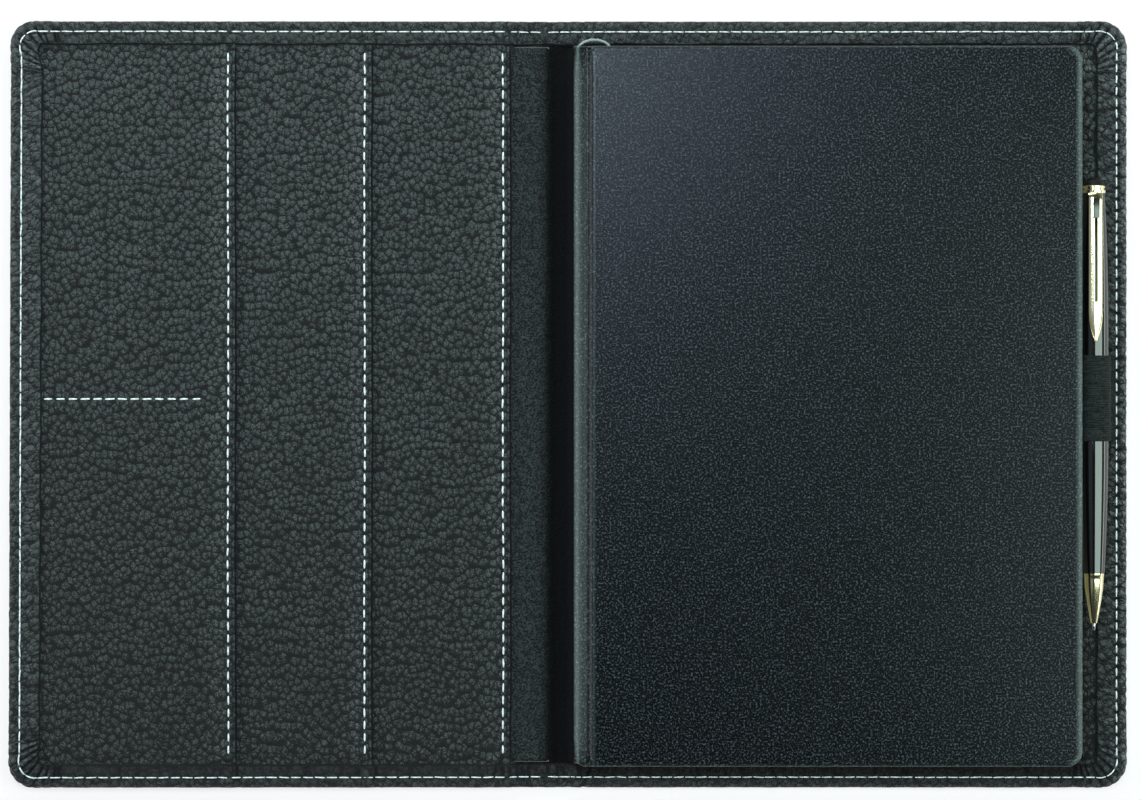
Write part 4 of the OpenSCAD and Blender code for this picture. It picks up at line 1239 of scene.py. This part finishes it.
def sew(name, line, pattern, thread, up=1, lift=0.0, gauge=None, pitch=STITCH_PITCH):
    """Lays the stitch along a line of points in millimetres, bent to it, as one piece.

    The thread is taut, so it follows the line's height as smoothed over a few points. The gauge
    gives a stitch's thickness and length for its x.
    """
    points, faces = pattern
    chance = np.random.default_rng(len(name))
    made_points = []
    made_faces = []
    line = np.array(line, float)
    pad = np.pad(line[:, 2], TAUT, mode="edge")
    line[:, 2] = np.convolve(pad, np.ones(2 * TAUT + 1) / (2 * TAUT + 1), mode="valid")
    way = np.concatenate([[0], np.cumsum(np.linalg.norm(np.diff(line, axis=0), axis=1))])
    number = int(way[-1] / pitch)
    start = (way[-1] - number * pitch) / 2
    for k in range(number):
        middle = start + (k + 0.5) * pitch
        thin, long = gauge(np.interp(middle, way, line[:, 0])) if gauge else (1.0, 1.0)
        size = chance.uniform(0.92, 1.04) * long
        turn = chance.normal(0, 0.03)
        at = middle + points[:, 0] * size
        on, ahead, behind = (
            np.stack([np.interp(at + d, way, line[:, c]) for c in range(3)], 1)
            for d in (0, 0.6, -0.6))
        run = ahead - behind
        run = run[:, :2] / np.linalg.norm(run[:, :2], axis=1)[:, None]
        off = thin * points[:, 1] + turn * points[:, 0] * size
        placed = on + np.stack([
            -run[:, 1] * off, run[:, 0] * off, up * thin * points[:, 2] + lift], 1)
        made_faces += [tuple(len(points) * len(made_points) + v for v in f) for f in faces]
        made_points.append(placed)
    piece = shell(name, np.concatenate(made_points), made_faces, thread, 50)
    return piece


def make_stitches(thread, left_lines, right_lines, pocket_lines):
    """Every seam, inside and outside."""
    pattern = one_stitch(thread)
    left = sew("left_edge_stitches", left_lines[0], pattern, thread, lift=0.26, pitch=LEFT_PITCH,
               gauge=lambda x: (0.8, 1.26) if x < LEFT_SIDE_X else (0.68, 1.12))
    right = sew("right_edge_stitches", right_lines[0], pattern, thread, lift=0.26,
                pitch=RIGHT_PITCH,
                gauge=lambda x: (0.85, 0.92) if x > RIGHT_SIDE_X else (0.66, 1.13))
    left_under = sew("left_outside_stitches", left_lines[1], pattern, thread, up=-1, lift=-0.08)
    right_under = sew("right_outside_stitches", right_lines[1], pattern, thread, up=-1, lift=-0.08)
    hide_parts("left_hem_thread", "spine_hem_thread")
    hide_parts("right_hem_thread")
    for piece in (left, left_under):
        bend_left(piece)
    for piece in (right, right_under):
        bend_right(piece)
    names = ("document_pocket", "middle_pocket", "card_pocket", "card_divider")
    for name, line in zip(names, pocket_lines, strict=True):
        piece = sew(name + "_stitches", line, pattern, thread)
        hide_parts(name + "_thread")
        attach(piece, "left_cover")


# ---------- notebook ----------

BOOK_X = BOOK_LOW[0] - 0.4  # the cover stands that much outside the node at the spine
BOOK_MIDDLE_Z = (BOOK_LOW[2] + BOOK_HIGH[2]) / 2
BOOK_HALF = BOOK_HIGH[1]
BOARD = 2.0  # thickness of a covered board
BOOK_CORNER = 4.5  # radius of its corners
BOOK_ROUND = 0.8  # radius of its rounded edge
BOOK_REACH = 10.0  # how far in the edge rows of a cover run
SPINE_WIDTH = 2.6  # from the spine's face to the groove
GROOVE_END = 5.7  # and to the board
FRONT_OUT = 0.6  # how far the front cover stands out of the node at the fore edge
FRONT_DOWN = 1.0  # and, at most, at the foot

# Columns across a cover's edge. They run over the face, round the edge and over the inside.
FACE_COLUMNS = 11  # so many before the outermost one
FACE_ROUND = slice(6, 12)
ROUND_START = slice(5, 8)
INSIDE_ROUND = 12  # the first one of the inside


def book_face(u):
    """Depth of the cover's outer face below its top, from the spine strip over the groove."""
    places = [0, 0.1, 0.25, 0.5, 0.8, 1.3, 2.1, 2.5, 2.9, 3.4, 3.9, 4.4, 4.7, 5.0, 5.25, 5.5, 5.8, 6.2]
    depths = [0.85, 0.56, 0.34, 0.13, 0.02, 0, 0.06, 0.22, 0.48, 0.72, 0.85, 0.82, 0.68, 0.47, 0.26,
              0.12, 0.03, 0]
    return np.interp(u, places, depths)


def book_cover(name, up, seed, material):
    """One board with its groove and half of the spine, covered. Up is 1 for the front one."""
    far = FRONT_HIGH[0] - BOOK_X + FRONT_OUT * (up > 0)
    heads = np.concatenate([
        [0, 0.1, 0.25, 0.5, 0.8, 1.1, 1.4, 1.7, 2.1, 2.55, 2.65, 2.9, 3.15, 3.4, 3.65, 3.9, 4.15,
         4.4, 4.6, 4.8, 5.0, 5.2, 5.4, 5.55, 5.72, 5.9, 6.1, 6.3, 6.6, 6.9, 7.6, 9],
        np.arange(11.5, far - BOOK_REACH - 0.5, 3), [far - BOOK_REACH]])
    stations = edge_stations(heads, BOOK_HALF, BOOK_CORNER, BOOK_REACH, 1.2)
    u = stations["edge"][:, 0][:, None]
    face = (BOOK_HIGH[2] - BOOK_MIDDLE_Z) - book_face(u)
    board = BOOK_HIGH[2] - BOOK_MIDDLE_Z - BOARD
    back = np.where(u < SPINE_WIDTH, 0.0, np.where(u < GROOVE_END, board - 0.05, board))
    chance = np.random.default_rng(seed)
    round_up = np.minimum(BOOK_ROUND, (face - back) / 2)
    depth = stations["depth"][:, None]
    columns = [(inset, face) for inset in (depth, 7.5, 5.2, 3.4, 2.1, 1.3)]
    for bend in np.radians((90, 72, 54, 36, 18, 0)):
        columns.append((BOOK_ROUND * (1 - np.cos(bend)), face - round_up * (1 - np.sin(bend))))
    for bend in np.radians((0, 25, 50, 75, 90)):
        columns.append((BOOK_ROUND * (1 - np.cos(bend)), back + round_up * (1 - np.sin(bend))))
    columns += [(3.0, back), (depth, back)]
    insets, levels = (side_by_side(c, len(u)) for c in zip(*columns, strict=True))
    insets[:, INSIDE_ROUND] += 1e-3  # so that the two sides stay apart where the cover is thin
    ruck = np.zeros_like(levels)
    for _ in range(9):
        at = chance.uniform(0.2, 5.2)
        slant = chance.uniform(-0.7, 0.7)
        size = chance.uniform(-0.16, 0.22)
        ruck += size * hump(u - at - slant * insets, 0.4) * np.exp(-insets / 3.2)
    levels = levels + ruck * (np.arange(levels.shape[1]) < FACE_COLUMNS)[None]
    levels = BOOK_MIDDLE_Z + up * levels
    # Painted highlights where the light catches: the spine strip, a little of the groove, the board's
    # shoulder and the rounded edges, most at the fore edge.
    run_in = ease(insets / 9)
    on_strip = hump(u - 0.9 - 0.3 * (1 - run_in), 0.35 + 0.5 * run_in)
    in_groove = np.exp(-((u - 2.9) / 1.7) ** 4) * run_in
    on_shoulder = hump(u - 5.9, 0.5)
    at_side = np.clip(-stations["inward"][:, :1], 0, 1)
    edge_tone = np.zeros(levels.shape[1])
    edge_tone[FACE_ROUND] = (0.1, 0.4, 0.8, 1, 1, 1)
    tone = 0.8 * on_strip + 0.12 * in_groove + 0.18 * on_shoulder
    tone = tone + edge_tone[None] * (0.25 + 0.6 * at_side)
    side_tone = np.zeros(levels.shape[1])
    side_tone[ROUND_START] = (0.35, 0.75, 0.4)
    tone = tone + side_tone[None] * at_side
    piece, _ = cover_shell(
        name, stations, insets, levels, (BOOK_X, 1), material, 38, painted_light=-np.clip(tone, 0, 1))
    if up > 0:
        for vertex in piece.data.vertices:
            at_foot = 0.5 - vertex.co.y / MM / BOOK_HALF / 2
            off_spine = ease((vertex.co.x / MM - BOOK_X - 0.4) / 3)
            vertex.co.y -= FRONT_DOWN * at_foot * off_spine * MM
    return piece


def paper_sheet(name, low, high, material):
    """An endpaper: a thin leaf with rounded outer corners, glued down inside a board."""
    select_none()
    size = np.array(high) - np.array(low)
    middle = (np.array(high) + np.array(low)) / 2
    bpy.ops.mesh.primitive_cube_add(size=1, location=middle * MM, scale=size * MM)
    leaf = bpy.context.object
    bpy.ops.object.mode_set(mode="EDIT")
    bpy.ops.mesh.select_all(action="DESELECT")
    bpy.ops.object.mode_set(mode="OBJECT")
    for edge in leaf.data.edges:
        ends = [leaf.data.vertices[v].co for v in edge.vertices]
        edge.select = all(e.x > 0 for e in ends) and abs(ends[0].z - ends[1].z) > 0.5
    bpy.ops.object.mode_set(mode="EDIT")
    bpy.ops.mesh.select_mode(type="EDGE")
    bpy.ops.mesh.bevel(offset=2.2 * MM, segments=5)
    bpy.ops.object.mode_set(mode="OBJECT")
    finish_piece(leaf, name, material)
    return leaf


def make_pages(paper):
    """The page block: leaves that are each a hair out of line, bent up over the pocket. They are
    drawn thicker than paper is, and fewer, so that they show."""
    select_none()
    low = PAGES_LOW
    high = PAGES_HIGH
    bpy.ops.mesh.primitive_cube_add(size=1)
    leaf = bpy.context.object
    for cut in (-0.47, -0.3, -0.05, 0.12, 0.145, 0.165, 0.185, 0.21, 0.35, 0.47):
        edit_all(bpy.ops.mesh.bisect, plane_co=(cut, 0, 0), plane_no=(1, 0, 0))
    shape = np.array([v.co for v in leaf.data.vertices])
    faces = [tuple(p.vertices) for p in leaf.data.polygons]
    bpy.data.objects.remove(leaf)
    chance = np.random.default_rng(17)
    number = 34
    gap = 0.035
    rise = 1.12
    pitch = (high[2] - low[2]) / number
    size = high - low
    points = []
    all_faces = []
    for k in range(number):
        slip = chance.uniform(0, 0.16, 3)
        x = low[0] + (shape[:, 0] + 0.5) * (size[0] - slip[0])
        y = (low[1] + high[1]) / 2 + shape[:, 1] * (size[1] - slip[1]) + slip[2] / 4
        z = low[2] + (k + 0.5) * pitch + shape[:, 2] * (pitch - gap)
        step = rise * ease((x - (FLAP_LOW[0] - 5.0)) / 4.4)
        z = z + step * (high[2] - z) / size[2]
        all_faces += [tuple(len(points) * len(shape) + v for v in f) for f in faces]
        points.append(np.stack([x, y, z], 1))
    pages = shell("page_gatherings", np.concatenate(points), all_faces, paper, 30)
    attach(pages, "notebook")
    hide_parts("page_block")


def make_headbands(cotton):
    """Corded bands at head and tail, wound with thread."""
    for name in ("head_band", "tail_band"):
        low, high = span(name)
        centre = (low + high) / 2
        radius = (high[0] - low[0]) / 2
        start = low[2] - centre[2]
        winding = 0.3
        profile = [(radius * 0.7, start)]
        for k in range(1, int((high[2] - low[2]) / winding)):
            profile.append((radius * (1.0 if k % 2 else 0.9), start + k * winding))
        profile.append((radius * 0.7, high[2] - centre[2]))
        band = turned(name + "_cord", profile, centre, (0, 0, 1), 16, cotton, 60)
        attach(band, "notebook")
        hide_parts(name)


def make_ribbon(satin):
    """The ribbon's bend over the head of the pages, standing on edge and leaning out a little."""
    nearer_spine = 2.3
    wider = 1.0
    arch_height = 4.3
    half_thick = 0.27
    centre_x = (RIBBON_LOW[0] + RIBBON_HIGH[0]) / 2 - nearer_spine
    reach = (RIBBON_HIGH[0] - RIBBON_LOW[0]) / 2 + wider
    half_width = (RIBBON_HIGH[2] - RIBBON_LOW[2]) / 2 - 0.2
    middle_z = (RIBBON_LOW[2] + RIBBON_HIGH[2]) / 2
    loops = []
    for share in np.linspace(0, 1, 61):
        angle = math.pi * (1 - share)
        lean = math.radians(2) * math.sin(math.pi * share)
        out = np.array([math.cos(angle), math.sin(angle), 0])
        up = np.array([0, 0, 1]) * math.cos(lean) + out * math.sin(lean)
        face = np.cross(up, [-out[1], out[0], 0])
        fray = 0.05 * math.sin(share * 47) + 0.04 * math.sin(share * 91)
        centre = np.array([centre_x, RIBBON_LOW[1] + 0.6, middle_z])
        arch = np.array([out[0] * reach, (arch_height + fray) * out[1] ** 0.8, 0])
        centre = centre + arch
        loop = []
        for along, off in ((-1, -1), (-0.5, -1), (0, -1), (0.5, -1), (1, -1),
                           (1, 1), (0.5, 1), (0, 1), (-0.5, 1), (-1, 1)):
            loop.append(centre + up * along * half_width + face * half_thick * off)
        loops.append(loop)
    ribbon = loft("satin_marker", np.array(loops), satin, 50)
    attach(ribbon, "notebook")
    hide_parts("ribbon_marker")


def make_notebook():
    """Covers, endpapers, pages, headbands and ribbon."""
    cloth = book_leatherette()
    front = book_cover("front_book_cover", 1, 41, cloth)
    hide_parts("notebook_front_cloth", "notebook_spine_cloth")
    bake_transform(front)
    back = book_cover("back_book_cover", -1, 43, cloth)
    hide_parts("notebook_back_cloth", "notebook_spine_cloth")
    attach(back, "notebook")
    inner_x = BOOK_X + 6.0
    outer_x = FRONT_HIGH[0] - 3
    half = BOOK_HALF - 3
    paper = book_paper("wove_endpaper", "#e3dcc9", "#f1ebdb")
    top = FRONT_LOW[2]
    front_leaf = paper_sheet(
        "front_endpaper_leaf", (inner_x, -half, top - 0.08), (outer_x, half, top + 0.05), paper)
    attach(front_leaf, "notebook_front_cover")
    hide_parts("notebook_front_endpaper")
    low = BACK_HIGH[2]
    back_leaf = paper_sheet(
        "back_endpaper_leaf", (inner_x, -half, low - 0.05), (outer_x, half, low + 0.06), paper)
    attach(back_leaf, "notebook")
    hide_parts("notebook_back_endpaper")
    # The page edges' paper is painted darker than the endpapers', as the shade they lie in.
    make_pages(book_paper("page_edges", "#c4bba4", "#ded6c2"))
    make_headbands(striped_headband())
    make_ribbon(satin_ribbon())


# ---------- pen loop ----------


def make_loop():
    """Elastic round the pen, with both ends sewn flat to the turned edge."""
    elastic = ribbed_elastic()
    thick = 0.6
    radius = PEN_RADIUS + 0.1 + thick / 2
    foot_x = LOOP_HIGH[0]
    foot_z = LOOP_LOW[2]
    lower_end = foot_z + 0.42

    # from its lower end round the pen, down outside it, and back onto its lower end
    path = [(foot_x, lower_end), (foot_x - 2, lower_end), (foot_x - 4.4, lower_end)]
    for degrees in np.linspace(-90, -345, 44):
        turn = math.radians(degrees)
        path.append((PEN[0] + radius * math.cos(turn), PEN[2] + radius * math.sin(turn)))
    path += [(PEN[0] + radius + 0.05, PEN[2] - 1.2), (PEN[0] + radius - 0.05, PEN[2] - 2.8),
             (PEN[0] + radius + 0.45, PEN[2] - 4.1), (foot_x - 0.5, foot_z + 0.78),
             (foot_x, foot_z + 0.66)]
    path = np.array(path)
    run = np.gradient(path, axis=0)
    run = run / np.linalg.norm(run, axis=1)[:, None]
    side = np.stack([-run[:, 1], run[:, 0]], 1)
    rows = np.arange(LOOP_LOW[1], LOOP_HIGH[1] + 0.01, ELASTIC_RIB / 4)
    loops = []
    for y in rows:
        rib = 0.5 + 0.5 * math.cos(2 * math.pi * (y - LOOP_LOW[1]) / ELASTIC_RIB)
        ends = min(1, (y - LOOP_LOW[1]) / 0.5 + 0.55, (LOOP_HIGH[1] - y) / 0.5 + 0.55)
        half = thick / 2 * (0.95 + 0.05 * rib) * ends
        one = path + side * half
        other = (path - side * half)[::-1]
        outline = np.concatenate([one, other])
        loops.append(np.stack([outline[:, 0], np.full(len(outline), y), outline[:, 1]], 1))
    loop = loft("elastic_pen_loop", np.array(loops), elastic, 60)
    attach(loop, "right_cover")
    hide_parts("pen_loop")


# ---------- pen ----------


def pen_part(name, profile, node, body, material, sides=64, angle=35):
    """A turned part of the pen, along +Y from the joint between its barrels."""
    piece = turned(name, profile, PEN, (0, 1, 0), sides, material, angle)
    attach(piece, body)
    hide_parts(node)
    return piece


def barrel(end_radius, first, last, straight, power):
    """Radii along a barrel that is straight at first and then narrows."""
    rings = []
    for k in range(23):
        share = k / 22
        rings.append((PEN_RADIUS - (PEN_RADIUS - end_radius) * share ** power,
                      straight + (last - straight) * share))
    return [(PEN_RADIUS, first)] + rings


def make_pen(gold):
    """Barrels, rings, cap and nose, each turned, and the slotted clip."""
    lacquer = gloss_lacquer()
    inner = 4.2  # radius of a barrel where the band covers it
    narrow = 3.35  # and at its far end
    straight = 16  # so long it does not narrow
    joint = PEN[1]
    upper_end = UPPER_HIGH[1] - joint
    lower_end = LOWER_LOW[1] - joint
    band_end = BAND_HIGH[1] - joint
    upper = [(inner, 0.02), (inner, band_end + 0.02), (4.34, band_end + 0.03)]
    upper += barrel(narrow, band_end + 0.05, upper_end, straight, 2.4)
    pen_part("upper_barrel", upper, "pen_upper_barrel", "pen", lacquer)
    band_radius = PEN_RADIUS + 0.05
    pen_part("centre_band", [
        (band_radius - 0.22, 0.04), (band_radius - 0.06, 0.08), (band_radius, 0.24),
        (band_radius, 0.62), (band_radius - 0.12, 0.72), (band_radius - 0.12, 0.86),
        (band_radius, 0.96), (band_radius, band_end - 0.2), (band_radius - 0.06, band_end - 0.05),
        (band_radius - 0.22, band_end)], "pen_centre_band", "pen", gold)
    lower = [(inner, 0.03), (4.36, 0.06)]
    lower += barrel(narrow, 0.2, -lower_end, straight, 1.6)
    lower.append((3.22, -lower_end + 0.02))
    pen_part("lower_barrel", [(r, -d) for r, d in lower], "pen_lower_barrel", "pen_lower_half",
             lacquer)
    nose_end = NOSE_LOW[1] - joint
    nose_length = lower_end - nose_end
    collar = 1.1
    nose = [(3.0, lower_end), (3.18, lower_end - 0.16), (3.18, lower_end - 0.9),
            (3.1, lower_end - collar)]
    for k in range(1, 17):
        share = k / 16
        nose.append((1.0 + 2.08 * (1 - share ** 1.6),
                     lower_end - collar - (nose_length - collar) * share))
    nose += [(0.86, nose_end - 0.04), (0.7, nose_end - 0.02)]
    pen_part("nose_cone", nose, "pen_nose_cone", "pen_lower_half", gold)
    ring_end = RING_HIGH[1] - joint
    ring_length = ring_end - upper_end
    pen_part("clip_ring", [
        (3.3, upper_end + 0.02), (3.52, upper_end + 0.1), (3.6, upper_end + 0.4),
        (3.6, upper_end + ring_length * 0.4), (3.3, upper_end + ring_length * 0.5),
        (3.3, upper_end + ring_length * 0.62), (3.5, upper_end + ring_length * 0.7),
        (3.5, ring_end - 0.25), (3.24, ring_end)],
        "pen_clip_ring", "pen", gold)
    cap_end = CAP_HIGH[1] - joint
    cap_length = cap_end - ring_end
    cap = [(3.28, ring_end + 0.02)]
    for k in range(1, 14):
        turn = math.radians(90 * k / 14)
        cap.append((3.3 * math.cos(turn) ** 0.8, ring_end + cap_length * math.sin(turn) ** 1.15))
    cap.append((0.12, cap_end))
    pen_part("end_cap", cap, "pen_end_cap", "pen", matt_lacquer())
    make_clip(gold)


def make_clip(gold):
    """A flat spring clip: cut out, thickened, bevelled, turned round the barrel and tipped."""
    select_none()
    width = 4.2
    thick = 0.8
    low = CLIP_LOW[1]
    high = RING_LOW[1] - 0.05
    level = PEN[2] + PEN_RADIUS + 0.4 + thick
    taper = 8.8
    slot_low = low + 11.6
    slot_high = low + 36.6
    half_slot = 0.45
    bpy.ops.mesh.primitive_plane_add(
        size=1, location=(PEN[0] * MM, (low + high) / 2 * MM, level * MM))
    clip = bpy.context.object
    clip.scale = (width * MM, (high - low) * MM, 1)
    bpy.ops.object.transform_apply(location=True, rotation=True, scale=True)
    cuts = [(((PEN[0] + x) * MM, 0, 0), (1, 0, 0))
            for x in (-1.8, -1.4, -0.95, -0.5, 0.5, 0.95, 1.4, 1.8)]
    cuts += [((0, y * MM, 0), (0, 1, 0)) for y in (
        low + 0.7, low + 2, low + 4, low + 6.2, low + taper, slot_low, slot_low + 0.4,
        slot_high - 0.4, slot_high, high - 5, high - 3.4, high - 2.6, high - 1.8, high - 1)]
    for point, normal in cuts:
        edit_all(bpy.ops.mesh.bisect, plane_co=point, plane_no=normal)
    bpy.ops.object.mode_set(mode="EDIT")
    bpy.ops.mesh.select_all(action="DESELECT")
    bpy.ops.mesh.select_mode(type="FACE")
    bpy.ops.object.mode_set(mode="OBJECT")
    for face in clip.data.polygons:
        centre = face.center / MM
        face.select = bool(abs(centre.x - PEN[0]) < half_slot and slot_low < centre.y < slot_high)
    bpy.ops.object.mode_set(mode="EDIT")
    bpy.ops.mesh.delete(type="FACE")
    bpy.ops.object.mode_set(mode="OBJECT")
    for vertex in clip.data.vertices:
        share = min(1.0, max(0.0, (vertex.co.y / MM - low) / taper))
        narrow = 0.2 + 0.8 * math.sin(share * math.pi / 2) ** 0.9
        vertex.co.x = PEN[0] * MM + (vertex.co.x - PEN[0] * MM) * narrow
        rise = 0.16 * math.sin(math.pi * min(1.0, max(0.0, (high - vertex.co.y / MM) / 40)))
        across = (vertex.co.x / MM - PEN[0]) / narrow
        fall = 0.12 * across ** 2 + 0.4 * ease((vertex.co.y / MM - high + 1.2) / 1.2)
        vertex.co.z += (rise - fall) * MM
    for kind, settings in (
            ("SOLIDIFY", {"thickness": thick * MM, "offset": -1.0}),
            ("BEVEL", {"width": 0.24 * MM, "segments": 3, "limit_method": "ANGLE"})):
        modifier = clip.modifiers.new(kind.lower(), kind)
        for name, value in settings.items():
            setattr(modifier, name, value)
        bpy.ops.object.modifier_apply(modifier=modifier.name)
    finish_piece(clip, "slotted_clip", gold, 30)
    recalculate(clip)
    root = block(
        "clip_root", (PEN[0], high - 0.9, PEN[2] + 3.6), (width - 1.2, 1.7, 0.9), 0.25, gold)
    smoked = metal("smoked_gilt_panel", "#2b2d2c", "#5e625f", 0.12, 0.3, (900, 500, 900))
    panel = block(
        "clip_panel", (PEN[0] + 0.1, high - 4.4, level + 0.04), (2.0, 6.0, 0.2), 0.08, smoked)
    ball = turned("clip_ball", [
        (0.2, 0), (0.5, 0.1), (0.66, 0.3), (0.66, 0.45)],
        (PEN[0], low + 4, PEN[2] + PEN_RADIUS + 0.08), (0, 0, 1), 24, gold)
    pick(ball, root, panel, clip)
    bpy.ops.object.join()
    edit_all(bpy.ops.transform.translate, value=(-0.45 * MM, 0, 0))
    edit_all(bpy.ops.transform.rotate, value=math.radians(-6), orient_axis="Y",
             orient_type="GLOBAL", center_override=(PEN[0] * MM, 0, PEN[2] * MM))
    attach(clip, "pen_clip")
    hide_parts("pen_clip")


def block(name, centre, size, round_by, material):
    """A small block with all its edges rounded."""
    select_none()
    bpy.ops.mesh.primitive_cube_add(
        size=1, location=np.array(centre) * MM, scale=np.array(size) * MM)
    piece = bpy.context.object
    bpy.ops.object.transform_apply(location=True, rotation=True, scale=True)
    edit_all(bpy.ops.mesh.bevel, offset=round_by * MM, segments=3)
    return finish_piece(piece, name, material)


# ---------- nodes that stay as they are ----------


def dress_nodes():
    """Finishes for the boards, the refill and the mechanism."""
    board = grey_board()
    brass = metal("drawn_brass", "#8f7a48", "#b7a169", 0.28, 0.42, (400, 60, 400))
    steel = metal("ground_steel", "#9da2a6", "#c9cdd0", 0.16, 0.3, (900, 90, 900))
    finishes = {
        "left_cover_stiffener": board, "spine_stiffener": board, "right_cover_stiffener": board,
        "notebook_front_board": board, "notebook_back_board": board, "notebook_spine_strip": board,
        "pen_twist_mechanism": brass, "refill_tube": brass, "refill_tip": steel}
    for name, finish in finishes.items():
        node = frame["nodes"][name]
        node.data.materials.clear()
        node.data.materials.append(finish)


# ---------- the whole ----------

make_camera()
make_world()
make_lights()
make_floor()
outer = pebbled_leather("pebbled_outer_calf", "#040505", "#666d6b", 1.95, 1.4, True)
pocket = pebbled_leather("pebbled_pocket_calf", "#030404", "#6f7775", 1.9, 1.4)
left_seams, right_seams = make_covers(outer)
make_linings(smooth_lining())
pocket_seams = make_pockets(pocket)
make_flap(pocket)
make_stitches(bonded_thread(), left_seams, right_seams, pocket_seams)
make_notebook()
make_loop()
gilt = metal("polished_gilt_brass", "#dccf9c", "#f6edcb", 0.13, 0.19, (700, 90, 700))
make_pen(gilt)
dress_nodes()
